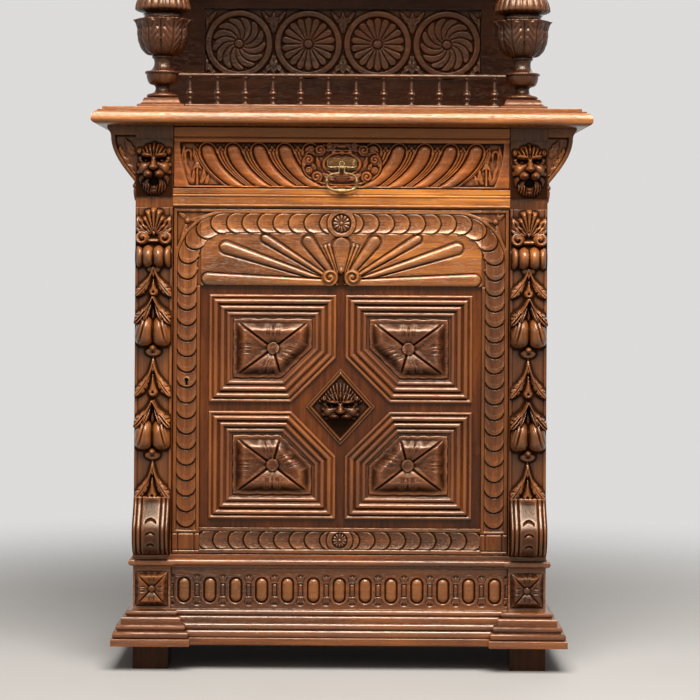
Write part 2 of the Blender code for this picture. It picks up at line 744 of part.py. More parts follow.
def side_bracket():
    """Bracket under the end of the top board, with a moulded cap."""
    inner, head = HALF + FIT, TOP_UNDER - FIT
    under = head - BRACKET_CAP_HEIGHT
    outline = [(inner, head), (inner, under - BRACKET_HEIGHT)]
    steps = 8
    for i in range(1, steps):
        share = 1 - i / steps
        reach = BRACKET_REACH * math.cos(math.pi / 2 * share)
        outline.append((inner + reach, under - BRACKET_HEIGHT * share))
    outline += [
        (inner + BRACKET_REACH, under), (inner + BRACKET_REACH, under + BRACKET_CAP_HEIGHT / 4),
        (inner + BRACKET_CAP_REACH, head - BRACKET_CAP_HEIGHT / 4), (inner + BRACKET_CAP_REACH, head),
    ]
    return prism(outline, "Y", FACE_Y, FACE_Y + BRACKET_DEPTH)


add_pair("lion_mask", lion_mask, OAK)
add_pair("fruit_drop", fruit_drop, OAK)
add_pair("side_bracket", side_bracket, OAK)


# Top board

def top_board():
    half = TOP_WIDTH / 2
    outline = [(-half, BACK_Y), (-half, -BACK_Y), (half, -BACK_Y), (half, BACK_Y)]
    profile = [(-inward * TOP_NOSE, TOP_UNDER + up * TOP_THICKNESS) for inward, up in TOP_PROFILE]
    return moulded(outline, (1, 1, 1, 0), profile)


add("top_board", top_board(), OAK)


# Door, which swings on two pins near its right edge

door_swing = empty("door_swing", (PIVOT_X, PIVOT_Y, DOOR_FOOT))


def pin(low, high, radius):
    return turned([(radius, low), (radius, high)], (PIVOT_X, PIVOT_Y), TURNED_SIDES)


def groove_y():
    return FIELD_Y - FIT, FIELD_Y + FIELD_THICKNESS + FIT


def stile():
    """Right-hand stile, grooved for the field."""
    front, back = groove_y()
    ground = FIELD_X + TONGUE + FIT
    outline = [
        (FIELD_X, FACE_Y), (DOOR_X, FACE_Y), (DOOR_X, DOOR_BACK), (FIELD_X, DOOR_BACK),
        (FIELD_X, back), (ground, back), (ground, front), (FIELD_X, front),
    ]
    return prism(outline, "Z", DOOR_FOOT, DOOR_TOP)


def rail(low, high, grooved_edge, away):
    """Door rail, grooved along one edge. Away is +1 where the wood lies above that edge."""
    front, back = groove_y()
    ground = grooved_edge + away * (TONGUE + FIT)
    other = high if away > 0 else low
    outline = [
        (FACE_Y, other), (FACE_Y, grooved_edge), (front, grooved_edge), (front, ground),
        (back, ground), (back, grooved_edge), (DOOR_BACK, grooved_edge), (DOOR_BACK, other),
    ]
    return prism(outline, "X", FIT - FIELD_X, FIELD_X - FIT)


def fan_rail():
    """Top rail with the two volutes from which its fan springs."""
    body = rail(FIELD_HIGH, DOOR_TOP, FIELD_HIGH, 1)
    centre = FIELD_HIGH + VOLUTE_RADIUS
    steps = [2 * math.pi * (i + 0.5) / TURNED_SIDES for i in range(TURNED_SIDES)]
    for side in (-1, 1):
        round_end = [
            (side * VOLUTE_SPREAD + VOLUTE_RADIUS * math.cos(a), centre + VOLUTE_RADIUS * math.sin(a))
            for a in steps
        ]
        body = joined(body, prism(round_end, "Y", FACE_Y - VOLUTE_RISE, FACE_Y + FIELD_SINK / 2))
    return body


def keyhole(reach):
    """Keyhole outline in X and Z, grown by a reach."""
    start = math.asin(KEYHOLE_SLOT / KEYHOLE_RADIUS)
    steps = 10
    arc = [-math.pi / 2 + start + (2 * math.pi - 2 * start) * i / steps for i in range(steps + 1)]
    outline = [(KEY_X + KEYHOLE_RADIUS * math.cos(a), KEY_Z + KEYHOLE_RADIUS * math.sin(a)) for a in arc]
    foot = KEY_Z - KEYHOLE_DROP
    return grown(outline + [(KEY_X - KEYHOLE_SLOT, foot), (KEY_X + KEYHOLE_SLOT, foot)], reach)


def keyhole_liner():
    """Thin lining of the keyhole, let in flush with the stile."""
    near, far = FACE_Y, FACE_Y + LINER_DEPTH
    wall = prism(keyhole(LINER_WALL), "Y", near, far)
    return less(wall, prism(keyhole(0.0), "Y", near - LINER_DEPTH, far + LINER_DEPTH))


def lock_stile():
    """Left-hand stile with the keyhole cut through it."""
    body = stile()
    flip(body)
    socket = prism(keyhole(LINER_WALL + FIT), "Y", FACE_Y - LINER_DEPTH, FACE_Y + LINER_DEPTH + FIT)
    way = prism(keyhole(0.0), "Y", FACE_Y, DOOR_BACK + FIELD_SINK)
    return less(body, socket, way)


def hinge_stile():
    """Right-hand stile, bored at both ends for the hinge pins."""
    radius, depth = HINGE_PIN_RADIUS + PIN_GAP, HINGE_PIN_LENGTH + PIN_GAP
    lower = pin(DOOR_FOOT - depth, DOOR_FOOT + depth, radius)
    upper = pin(DOOR_TOP - depth, DOOR_TOP + depth, radius)
    return less(stile(), lower, upper)


def hinge_pin(seat, away):
    """Pivot with a flange on its seat. Away is +1 where the pin stands up."""
    flange = seat + away * (DOOR_GAP - PIN_GAP)
    tip = seat + away * (DOOR_GAP + HINGE_PIN_LENGTH)
    profile = [
        (HINGE_FLANGE_RADIUS, seat + away * FIT), (HINGE_FLANGE_RADIUS, flange),
        (HINGE_PIN_RADIUS, flange), (HINGE_PIN_RADIUS, tip),
    ]
    return turned(profile, (PIVOT_X, PIVOT_Y), TURNED_SIDES)


def quarter_panel():
    """Upper right panel of the field: a mitred moulding round a raised cushion, with one corner cut off."""
    left, low = MUNTIN / 2, FIELD_Z + MUNTIN / 2
    right, high = FIELD_X - FIELD_MARGIN, FIELD_HIGH - FIELD_MARGIN
    outline = [
        (left + PANEL_CORNER, low), (right, low), (right, high), (left, high), (left, low + PANEL_CORNER),
    ]
    steps = [(inset * PANEL_MOULD_WIDTH, up * PANEL_MOULD_RISE) for inset, up in PANEL_PROFILE]
    for inset, up in ((0.06, 0.55), (0.25, 0.85), (0.55, 1.0)):
        steps.append((PANEL_MOULD_WIDTH * (1 + inset), CUSHION_RISE * up))
    ground = FIELD_Y - FIT
    return lofted([[(x, ground - up, z) for x, z in grown(outline, -inset)] for inset, up in steps])


def lozenge():
    """Diamond in the middle of the field, with a raised mask."""
    outline = [
        (LOZENGE_HALF_WIDTH, FIELD_Z), (0, FIELD_Z + LOZENGE_HALF_HEIGHT),
        (-LOZENGE_HALF_WIDTH, FIELD_Z), (0, FIELD_Z - LOZENGE_HALF_HEIGHT),
    ]
    steps = (
        (0.0, 0.0), (0.0, 0.4 * PANEL_MOULD_RISE), (LOZENGE_BORDER / 2, 0.6 * PANEL_MOULD_RISE),
        (LOZENGE_BORDER, 0.3 * PANEL_MOULD_RISE), (1.6 * LOZENGE_BORDER, 0.55 * MASK_RISE),
        (2.6 * LOZENGE_BORDER, 0.9 * MASK_RISE), (3.4 * LOZENGE_BORDER, MASK_RISE),
    )
    ground = FIELD_Y - FIT
    return lofted([[(x, ground - up, z) for x, z in grown(outline, -inset)] for inset, up in steps])


def lock_case():
    """Rim lock on the inside of the stile, with a keyhole pocket and a way for the bolt."""
    body = box((LOCK_X, LOCK_X + LOCK_WIDTH), (DOOR_BACK + FIT, DOOR_BACK + FIT + LOCK_DEPTH),
               (KEY_Z - LOCK_HEIGHT / 2, KEY_Z + LOCK_HEIGHT / 2))
    pocket = prism(keyhole(0.0), "Y", DOOR_BACK - LOCK_POCKET, DOOR_BACK + FIT + LOCK_POCKET)
    thick, high = BOLT_THICKNESS / 2 + PIN_GAP, BOLT_HEIGHT / 2 + PIN_GAP
    way = box((LOCK_X - LOCK_WIDTH, LOCK_X + BOLT_LENGTH + PIN_GAP), (BOLT_Y - thick, BOLT_Y + thick),
              (BOLT_Z - high, BOLT_Z + high))
    return less(body, pocket, way)


add("door_stile_lock", lock_stile(), OAK, door_swing)
add("door_stile_hinge", hinge_stile(), OAK, door_swing)
add("door_rail_top", fan_rail(), OAK, door_swing)
add("door_rail_bottom", rail(DOOR_FOOT, FIELD_LOW, FIELD_LOW, -1), OAK, door_swing)
add("door_field",
    box((-FIELD_X - TONGUE, FIELD_X + TONGUE), (FIELD_Y, FIELD_Y + FIELD_THICKNESS),
        (FIELD_LOW - TONGUE, FIELD_HIGH + TONGUE)),
    OAK, door_swing)
for height in ("lower", "upper"):
    for side in ("left", "right"):
        panel = quarter_panel()
        if side == "left":
            flip(panel)
        if height == "lower":
            flip(panel, axis=2, about=FIELD_Z)
        add(f"door_panel_{height}_{side}", panel, OAK, door_swing)
add("door_lozenge", lozenge(), OAK, door_swing)
add("keyhole_liner", keyhole_liner(), BRASS, door_swing)
add("lock_case", lock_case(), IRON, door_swing)
bolt_slide = empty("bolt_slide", (LOCK_X, BOLT_Y, BOLT_Z), door_swing)
add("lock_bolt",
    box((LOCK_X, LOCK_X + BOLT_LENGTH), (BOLT_Y - BOLT_THICKNESS / 2, BOLT_Y + BOLT_THICKNESS / 2),
        (BOLT_Z - BOLT_HEIGHT / 2, BOLT_Z + BOLT_HEIGHT / 2)),
    IRON, bolt_slide)
add("hinge_pin_lower", hinge_pin(FLOOR, 1), BRASS)
add("hinge_pin_upper", hinge_pin(DOOR_HEAD, -1), BRASS)


# Drawer, which slides out towards -Y

drawer_slide = empty("drawer_slide", (0, FACE_Y, DRAWER_SILL))


def drawer_front():
    """Front, grooved behind for the bottom."""
    back = FACE_Y + DRAWER_FRONT_THICKNESS
    low, high = DRAWER_FOOT + DRAWER_GAP - FIT, TOP_UNDER - DRAWER_GAP
    groove = DRAWER_FOOT + DRAWER_BOTTOM_LIFT - FIT
    outline = [
        (FACE_Y, low), (back, low), (back, groove), (back - DRAWER_GROOVE - FIT, groove),
        (back - DRAWER_GROOVE - FIT, groove + DRAWER_BOTTOM_THICKNESS + 2 * FIT),
        (back, groove + DRAWER_BOTTOM_THICKNESS + 2 * FIT), (back, high), (FACE_Y, high),
    ]
    return prism(outline, "X", -DRAWER_X, DRAWER_X)


def drawer_side():
    """Side, grooved inside for the bottom."""
    inner = DRAWER_X - DRAWER_SIDE_THICKNESS
    groove = DRAWER_FOOT + DRAWER_BOTTOM_LIFT - FIT
    ground = inner + DRAWER_GROOVE + FIT
    outline = [
        (inner, DRAWER_FOOT), (DRAWER_X, DRAWER_FOOT), (DRAWER_X, DRAWER_TOP), (inner, DRAWER_TOP),
        (inner, groove + DRAWER_BOTTOM_THICKNESS + 2 * FIT),
        (ground, groove + DRAWER_BOTTOM_THICKNESS + 2 * FIT), (ground, groove), (inner, groove),
    ]
    return prism(outline, "Y", FACE_Y + DRAWER_FRONT_THICKNESS + FIT, DRAWER_BACK)


def drawer_bottom():
    side = DRAWER_X - DRAWER_SIDE_THICKNESS + DRAWER_GROOVE
    low = DRAWER_FOOT + DRAWER_BOTTOM_LIFT
    return box((-side, side), (FACE_Y + DRAWER_FRONT_THICKNESS - DRAWER_GROOVE, DRAWER_BACK),
               (low, low + DRAWER_BOTTOM_THICKNESS))


def pull_plate():
    """Back plate of the pull, with the eye that holds the bail's bar."""
    half, clip = PLATE_WIDTH / 2, PLATE_HEIGHT / 3
    top = PLATE_FOOT + PLATE_HEIGHT
    outline = [
        (clip - half, PLATE_FOOT), (half - clip, PLATE_FOOT), (half, PLATE_FOOT + clip),
        (half, top - clip), (half - clip, top), (clip - half, top), (-half, top - clip),
        (-half, PLATE_FOOT + clip),
    ]
    plate = prism(outline, "Y", PLATE_Y, PLATE_Y + PLATE_THICKNESS)
    steps = [2 * math.pi * (i + 0.5) / TURNED_SIDES for i in range(TURNED_SIDES)]
    eye = [(BAR_Y + EYE_RADIUS * math.cos(a), BAR_Z + EYE_RADIUS * math.sin(a)) for a in steps]
    hole = BAIL_WIRE + PIN_GAP
    way = [(BAR_Y + hole * math.cos(a), BAR_Z + hole * math.sin(a)) for a in steps]
    arm = box((-EYE_HALF_WIDTH, EYE_HALF_WIDTH), (BAR_Y, PLATE_Y + PLATE_THICKNESS / 2),
              (BAR_Z - EYE_RADIUS / 2, BAR_Z + EYE_RADIUS / 2))
    knuckle = prism(eye, "X", -EYE_HALF_WIDTH, EYE_HALF_WIDTH)
    body = joined(joined(plate, arm), knuckle)
    return less(body, prism(way, "X", -2 * EYE_HALF_WIDTH, 2 * EYE_HALF_WIDTH))


def bail_route():
    """Centre line of the bail, from its bar: an ellipse drawn in to two necks."""
    steps = 20
    open_angle = math.asin(min(1.0, 2 * BAIL_NECK / BAIL_HALF_WIDTH))
    neck_foot = (BAIL_HALF_HEIGHT - BAIL_DROP) / 2
    route = [(-BAIL_NECK, 0.0), (BAIL_NECK, 0.0), (BAIL_NECK, neck_foot)]
    for i in range(steps + 1):
        angle = math.pi / 2 - open_angle - (2 * math.pi - 2 * open_angle) * i / steps
        route.append((BAIL_HALF_WIDTH * math.cos(angle), BAIL_HALF_HEIGHT * math.sin(angle) - BAIL_DROP))
    route.append((-BAIL_NECK, neck_foot))
    return route


def pull_bail(axis):
    """Bail of round wire that hangs in the eye."""
    line = bpy.data.curves.new("drawer_pull_bail", "CURVE")
    line.dimensions = "3D"
    line.bevel_depth = BAIL_WIRE
    line.bevel_resolution = 2
    spline = line.splines.new("POLY")
    route = bail_route()
    spline.points.add(len(route) - 1)
    for point, (across, up) in zip(spline.points, route):
        point.co = (across, 0.0, up, 1.0)
    spline.use_cyclic_u = True
    line.materials.append(BRASS)
    bail = bpy.data.objects.new("drawer_pull_bail", line)
    bpy.context.scene.collection.objects.link(bail)
    bail.parent = axis


add("drawer_front", drawer_front(), OAK, drawer_slide)
for side in ("left", "right"):
    board = drawer_side()
    if side == "left":
        flip(board)
    add(f"drawer_side_{side}", board, INNER_OAK, drawer_slide)
inside = DRAWER_X - DRAWER_SIDE_THICKNESS - FIT
add("drawer_back",
    box((-inside, inside), (DRAWER_BACK - DRAWER_SIDE_THICKNESS, DRAWER_BACK),
        (DRAWER_FOOT + DRAWER_BOTTOM_LIFT + DRAWER_BOTTOM_THICKNESS + FIT, DRAWER_TOP)),
    INNER_OAK, drawer_slide)
add("drawer_bottom", drawer_bottom(), INNER_OAK, drawer_slide)
add("drawer_pull_plate", pull_plate(), BRASS, drawer_slide)
pull_bail(empty("bail_swing", (0, BAR_Y, BAR_Z), drawer_slide))


# Columns and gallery

def column_profile():
    """Turned outline of a column over its pedestal, as (radius, level) pairs."""
    profile = []
    level = COLUMN_FOOT + PEDESTAL_HEIGHT

    def stage(height, *points):
        nonlocal level
        profile.extend((radius, level + share * height) for radius, share in points)
        level += height

    stage(TORUS_HEIGHT, (TORUS_RADIUS, 0.0), (TORUS_RADIUS, 0.7), (0.7 * TORUS_RADIUS, 1.0))
    stage(NECK_HEIGHT, (NECK_RADIUS, 0.55))
    stage(CUP_HEIGHT, (0.65 * CUP_RADIUS, 0.0), (0.85 * CUP_RADIUS, 0.4), (CUP_RADIUS, 0.85),
          (CUP_RADIUS, 1.0))
    stage(SHOULDER_HEIGHT, (0.7 * CUP_RADIUS, 0.2), (1.1 * NECK_RADIUS, 0.7), (1.2 * NECK_RADIUS, 1.0))
    stage(VASE_HEIGHT, (0.55 * VASE_RADIUS, 0.08), (0.8 * VASE_RADIUS, 0.32), (0.92 * VASE_RADIUS, 0.65),
          (VASE_RADIUS, 0.95), (0.95 * VASE_RADIUS, 1.0))
    stage(THROAT_HEIGHT, (THROAT_RADIUS, 0.1), (THROAT_RADIUS, 0.9))
    stage(CUSHION_HEIGHT, (0.92 * CUSHION_RADIUS, 0.0), (CUSHION_RADIUS, 0.16),
          (0.92 * CUSHION_RADIUS, 0.4), (0.74 * CUSHION_RADIUS, 0.65), (SHAFT_RADIUS, 0.85))
    stage(SHAFT_LENGTH, (1.2 * SHAFT_RADIUS, 0.0), (1.2 * SHAFT_RADIUS, 0.05), (SHAFT_RADIUS, 0.08),
          (SHAFT_RADIUS - SHAFT_TAPER, 0.92), (1.1 * SHAFT_RADIUS, 0.95), (1.1 * SHAFT_RADIUS, 1.0))
    stage(CAPITAL_HEIGHT, (SHAFT_RADIUS, 0.1), (0.8 * CAPITAL_RADIUS, 0.55), (CAPITAL_RADIUS, 0.85),
          (CAPITAL_RADIUS, 1.0))
    return profile


def square(side):
    half = side / 2
    return [
        (COLUMN_SPREAD - half, COLUMN_Y - half), (COLUMN_SPREAD + half, COLUMN_Y - half),
        (COLUMN_SPREAD + half, COLUMN_Y + half), (COLUMN_SPREAD - half, COLUMN_Y + half),
    ]


def column():
    """Turned column between a splayed pedestal and a square abacus."""
    splay = (PEDESTAL_TOP - PEDESTAL_SIDE) / 2
    top = COLUMN_FOOT + PEDESTAL_HEIGHT
    pedestal = moulded(square(PEDESTAL_SIDE), (1, 1, 1, 1), [
        (0.0, COLUMN_FOOT), (0.0, COLUMN_FOOT + PEDESTAL_HEIGHT / 3), (splay, top)])
    profile = column_profile()
    profile[0] = (profile[0][0], top - PEDESTAL_HEIGHT / 3)
    abacus_foot = COLUMN_TOP - ABACUS_HEIGHT
    profile[-1] = (profile[-1][0], abacus_foot + ABACUS_HEIGHT / 3)
    shaft = turned(profile, (COLUMN_SPREAD, COLUMN_Y), TURNED_SIDES)
    abacus = prism(square(2 * CAPITAL_RADIUS + ABACUS_HEIGHT / 2), "Z", abacus_foot, COLUMN_TOP)
    return joined(pedestal, shaft, abacus)


def gallery():
    """Low balustrade on the board between the columns."""
    foot, top = COLUMN_FOOT, TOP_LEVEL + GALLERY_HEIGHT
    sill_end = COLUMN_SPREAD - PEDESTAL_SIDE / 2 - FIT
    rail_end = COLUMN_SPREAD - CUP_RADIUS - FIT
    sill_y = (COLUMN_Y - GALLERY_SILL_DEPTH / 2, COLUMN_Y + GALLERY_SILL_DEPTH / 2)
    rail_y = (COLUMN_Y - GALLERY_RAIL_DEPTH / 2, COLUMN_Y + GALLERY_RAIL_DEPTH / 2)
    sill = box((-sill_end, sill_end), sill_y, (foot, TOP_LEVEL + GALLERY_SILL))
    rail_top = box((-rail_end, rail_end), rail_y, (top - GALLERY_RAIL, top))
    low, high = TOP_LEVEL + GALLERY_SILL - GALLERY_RAIL / 2, top - GALLERY_RAIL / 2
    pitch = 2 * COLUMN_SPREAD / (BALUSTERS + 1)
    body = sill
    for i in range(BALUSTERS):
        profile = [(share * BALUSTER_RADIUS, low + up * (high - low)) for share, up in BALUSTER_PROFILE]
        centre = ((i + 1) * pitch - COLUMN_SPREAD, COLUMN_Y)
        body = joined(body, turned(profile, centre, BALUSTER_SIDES))
    return joined(body, rail_top)


add_pair("column", column, OAK)
add("gallery", gallery(), OAK)


# Panelled back of the niche

BACK_FRAME_X = HALF - BACK_FRAME_INSET
NICHE_X = BACK_FRAME_X - BACK_STILE
FRAME_FACE = BACK_Y - BACK_FRAME_DEPTH
ROSETTE_LOW = TOP_LEVEL + BACK_SILL
ROSETTE_HIGH = ROSETTE_LOW + ROSETTE_PANEL_HEIGHT
PANEL_LOW = ROSETTE_HIGH + BACK_MIDDLE_RAIL
PANEL_HIGH = SOFFIT - BACK_TOP_RAIL
NICHE_PANEL_Y = FRAME_FACE + BACK_FRAME_DEPTH / 3


def back_frame():
    """Stiles and rails of the niche's back, with two openings for panels."""
    body = box((-BACK_FRAME_X, BACK_FRAME_X), (FRAME_FACE, BACK_Y), (COLUMN_FOOT, SOFFIT - FIT))
    for low, high in ((ROSETTE_LOW, ROSETTE_HIGH), (PANEL_LOW, PANEL_HIGH)):
        sight = box((-NICHE_X, NICHE_X), (FRAME_FACE - FIT, BACK_Y + FIT), (low, high))
        body = less(body, sight)
    return body


def niche_panel(low, high):
    return box((FIT - NICHE_X, NICHE_X - FIT), (NICHE_PANEL_Y, NICHE_PANEL_Y + NICHE_PANEL_THICKNESS),
               (low + FIT, high - FIT))


add("back_frame", back_frame(), SHADED_OAK)
add("rosette_panel", niche_panel(ROSETTE_LOW, ROSETTE_HIGH), SHADED_OAK)
add("niche_panel", niche_panel(PANEL_LOW, PANEL_HIGH), SHADED_OAK)


# Canopy

def canopy_frieze():
    """Frieze board with its two returns."""
    inner, inner_y = HALF - FRIEZE_BOARD, FACE_Y + FRIEZE_BOARD
    outline = [
        (-HALF, BACK_Y), (-HALF, FACE_Y), (HALF, FACE_Y), (HALF, BACK_Y),
        (inner, BACK_Y), (inner, inner_y), (-inner, inner_y), (-inner, BACK_Y),
    ]
    return prism(outline, "Z", FRIEZE_FOOT + FIT, CORNICE_FOOT)


def canopy_cornice():
    outline = [(-HALF, BACK_Y), (-HALF, FACE_Y), (HALF, FACE_Y), (HALF, BACK_Y)]
    foot = CORNICE_FOOT + FIT
    profile = [(out * CORNICE_REACH, foot + up * CORNICE_HEIGHT) for out, up in CORNICE_PROFILE]
    return moulded(outline, (1, 1, 1, 0), profile)


add("canopy_soffit", box((-HALF, HALF), (FACE_Y, BACK_Y), (SOFFIT, FRIEZE_FOOT)), OAK)
add("canopy_frieze", canopy_frieze(), OAK)
add("canopy_cornice", canopy_cornice(), OAK)
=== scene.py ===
# Carved oak buffet: the looks of every piece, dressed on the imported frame
import json
import math

import bpy
import numpy as np
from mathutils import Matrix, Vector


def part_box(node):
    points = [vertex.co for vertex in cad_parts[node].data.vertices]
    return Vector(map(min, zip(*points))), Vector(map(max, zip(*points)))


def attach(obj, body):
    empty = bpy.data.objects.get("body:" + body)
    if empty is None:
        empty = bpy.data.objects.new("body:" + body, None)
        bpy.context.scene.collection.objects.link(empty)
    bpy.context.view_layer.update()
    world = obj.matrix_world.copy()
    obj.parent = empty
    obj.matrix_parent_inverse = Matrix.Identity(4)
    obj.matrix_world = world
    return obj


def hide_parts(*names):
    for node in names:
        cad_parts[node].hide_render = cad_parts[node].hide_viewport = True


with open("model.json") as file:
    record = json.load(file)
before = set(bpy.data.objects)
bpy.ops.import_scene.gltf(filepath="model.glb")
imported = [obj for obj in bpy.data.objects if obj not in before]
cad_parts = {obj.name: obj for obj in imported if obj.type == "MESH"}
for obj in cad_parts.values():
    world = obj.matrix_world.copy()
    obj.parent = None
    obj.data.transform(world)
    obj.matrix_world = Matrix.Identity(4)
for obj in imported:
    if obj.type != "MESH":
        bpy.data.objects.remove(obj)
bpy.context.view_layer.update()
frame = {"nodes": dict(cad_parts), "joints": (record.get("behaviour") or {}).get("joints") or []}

mm = 0.001
boardShift = np.random.default_rng(11)  # every board gets its own stretch of grain
print("frame loaded with", len(frame["nodes"]), "nodes")


# Shader maths as expressions
class Wire:
    def __init__(self, finish, socket):
        self.finish = finish
        self.socket = socket

    def sum(self, operation, a, b):
        return self.finish.node("ShaderNodeMath", {"operation": operation}, {0: a, 1: b})

    def __add__(self, other):
        return self.sum("ADD", self, other)

    def __radd__(self, other):
        return self.sum("ADD", other, self)

    def __sub__(self, other):
        return self.sum("SUBTRACT", self, other)

    def __rsub__(self, other):
        return self.sum("SUBTRACT", other, self)

    def __mul__(self, other):
        return self.sum("MULTIPLY", self, other)

    def __rmul__(self, other):
        return self.sum("MULTIPLY", other, self)

    def atLeast(self, other):
        return self.sum("MAXIMUM", self, other)

    def atMost(self, other):
        return self.sum("MINIMUM", self, other)


class Finish:
    def __init__(self, name):
        self.material = bpy.data.materials.new(name)
        self.material.use_nodes = True
        self.nodes = self.material.node_tree.nodes
        self.links = self.material.node_tree.links
        self.shader = self.nodes["Principled BSDF"]

    def node(self, kind, settings=None, inputs=None, output=0):
        made = self.nodes.new(kind)
        for key, value in (settings or {}).items():
            if key == "stops":
                self.stops(made.color_ramp, value)
            else:
                setattr(made, key, value)
        self.fill(made, inputs or {})
        return Wire(self, made.outputs[output])

    def stops(self, ramp, stops):
        while len(ramp.elements) < len(stops):
            ramp.elements.new(0.5)
        for element, (place, colour) in zip(ramp.elements, stops):
            element.position = place
            element.color = (*colour, 1.0)

    def fill(self, made, inputs):
        for key, value in inputs.items():
            socket = made.inputs[key]
            if isinstance(value, Wire):
                self.links.new(value.socket, socket)
            elif socket.type == "RGBA" and len(value) == 3:
                socket.default_value = (*value, 1.0)
            else:
                socket.default_value = value

    def mix(self, share, a, b):  # colours only
        return self.node("ShaderNodeMix", {"data_type": "RGBA"}, {"Factor": share, 6: a, 7: b}, output=2)

    def shade(self, **inputs):
        self.fill(self.shader, {key.replace("_", " "): value for key, value in inputs.items()})
        return self.material

    def dull(self, share, colour):  # a matt surface laid over by share
        matt = self.node("ShaderNodeBsdfPrincipled", None, {
            "Base Color": colour, "Roughness": 0.9, "Specular IOR Level": 0.0})
        both = self.node("ShaderNodeMixShader", None,
                         {0: share, 1: Wire(self, self.shader.outputs[0]), 2: matt})
        self.links.new(both.socket, self.nodes["Material Output"].inputs["Surface"])


oakTone = {
    "deep": (0.036, 0.0084, 0.0019),
    "mid": (0.110, 0.0275, 0.0046),
    "light": (0.24, 0.074, 0.0125),
    "grimeAndShade": (0.012, 0.0042, 0.0018),  # old wax in the hollows, and painted shade
    "rubbedAndLit": (0.40, 0.160, 0.046),  # edges that hands have polished, and painted light
    "alongGrain": 14.0,  # streaks per metre with the grain
    "acrossGrain": 260.0,
    "gloss": 0.20,
    "bump": 0.0009,
}


def oakFinish(name, source, tint=(1.0, 1.0, 1.0), patinaAndShade=1.0, shine=0.54, polish=0.0):
    made = Finish(name)
    if source == "grain":  # boards that carry their own grain direction
        place = made.node("ShaderNodeAttribute", {"attribute_name": "grain"}, output=1)
        hollow = made.node("ShaderNodeAttribute", {"attribute_name": "hollow"}, output=2)
    else:  # boards left as they are in the frame
        spot = made.node("ShaderNodeTexCoord", output=3)
        turn = {"x": (0, 0, 0), "y": (0, 0, -math.pi / 2), "z": (0, math.pi / 2, 0)}[source]
        place = made.node("ShaderNodeMapping", None, {"Vector": spot, "Rotation": turn})
        hollow = None
    long, across = oakTone["alongGrain"], oakTone["acrossGrain"]

    def tone(name, share=1.0):
        return [c * t * share for c, t in zip(oakTone[name], tint)]

    def noise(lengthwise, sideways, **more):
        stretch = made.node("ShaderNodeMapping", None,
                            {"Vector": place, "Scale": (lengthwise, sideways, sideways)})
        return made.node("ShaderNodeTexNoise", None, {"Vector": stretch, "Scale": 1.0, **more})

    cloud = noise(3.0, 9.0, Detail=3.0, Roughness=0.55)
    streak = noise(long * 0.5, across * 0.45, Detail=5.0, Roughness=0.62, Distortion=0.35)
    pore = noise(long * 6, across * 4.5, Detail=2.0)
    ray = noise(long * 3.2, across * 0.32, Detail=1.0)
    figure = cloud * 0.92 + streak * 0.66 - 0.30
    colour = made.node("ShaderNodeValToRGB", {"stops": (
        (0.30, tone("deep")), (0.52, tone("mid")), (0.78, tone("light")))}, {"Fac": figure})
    pores = made.node("ShaderNodeMapRange", None, {0: pore, 1: 0.56, 2: 0.70, 3: 0.0, 4: 0.6})
    colour = made.mix(pores, colour, tone("deep", 0.5))
    flecks = made.node("ShaderNodeMapRange", None, {0: ray, 1: 0.66, 2: 0.74, 3: 0.0, 4: 0.18})
    colour = made.mix(flecks, colour, tone("light"))
    rough = oakTone["gloss"] + streak * 0.10 + pores * 0.18
    if hollow is not None:
        # the hollow measure also carries painted shade and light from the stains: hollows darken with old
        # wax and painted shade, crests lighten with rubbed wear and painted light
        sunkAndShaded = (hollow * (0.86 * patinaAndShade)).atLeast(0.0).atMost(0.92)
        wornAndLit = (hollow * -0.14).atLeast(0.0).atMost(0.34)
        colour = made.mix(sunkAndShaded, colour, oakTone["grimeAndShade"])
        colour = made.mix(wornAndLit, colour, tone("rubbedAndLit"))
        # deep hollows turn matt: painted shade that takes away their reflection
        made.dull((hollow * 1.1 - 0.42).atLeast(0.0).atMost(0.9), colour)
        rough = rough - wornAndLit * 0.12
        if polish:  # clear wax on the crests
            crest = (hollow * -2.0).atMost(hollow * 3.0 + 3.45).atLeast(0.0).atMost(1.0)
            made.shade(Coat_Weight=crest * polish, Coat_Roughness=0.22)
    relief = streak * 0.6 - pores * 0.9
    bump = made.node("ShaderNodeBump", None,
                     {"Height": relief, "Strength": 0.5, "Distance": oakTone["bump"]})
    return made.shade(Base_Color=colour, Roughness=rough, Normal=bump, Specular_IOR_Level=shine,
                      Specular_Tint=(1.0, 0.77, 0.58))


brassTone = {"bright": (0.52, 0.37, 0.19), "tarnish": (0.16, 0.088, 0.034), "gloss": 0.30}


def brassFinish(name, dulled=0.0, tarnish=brassTone["tarnish"]):
    made = Finish(name)
    spot = made.node("ShaderNodeTexCoord", output=3)
    hollow = made.node("ShaderNodeAttribute", {"attribute_name": "hollow"}, output=2)
    cloud = made.node("ShaderNodeTexNoise", None, {"Vector": spot, "Scale": 160.0, "Detail": 4.0})
    age = (cloud * 1.5 + (dulled - 0.45) + hollow * 0.8).atLeast(0.0).atMost(1.0)
    colour = made.mix(age, brassTone["bright"], tarnish)
    bump = made.node("ShaderNodeBump", None, {"Height": cloud, "Strength": 0.25, "Distance": 0.0006})
    return made.shade(Base_Color=colour, Roughness=age * 0.3 + brassTone["gloss"], Metallic=1.0,
                      Normal=bump)


def ironFinish(name):
    made = Finish(name)
    spot = made.node("ShaderNodeTexCoord", output=3)
    cloud = made.node("ShaderNodeTexNoise", None, {"Vector": spot, "Scale": 220.0, "Detail": 5.0})
    colour = made.mix(cloud, (0.035, 0.032, 0.03), (0.10, 0.085, 0.07))
    bump = made.node("ShaderNodeBump", None, {"Height": cloud, "Strength": 0.3, "Distance": 0.0005})
    return made.shade(Base_Color=colour, Roughness=cloud * 0.3 + 0.35, Metallic=0.9, Normal=bump)
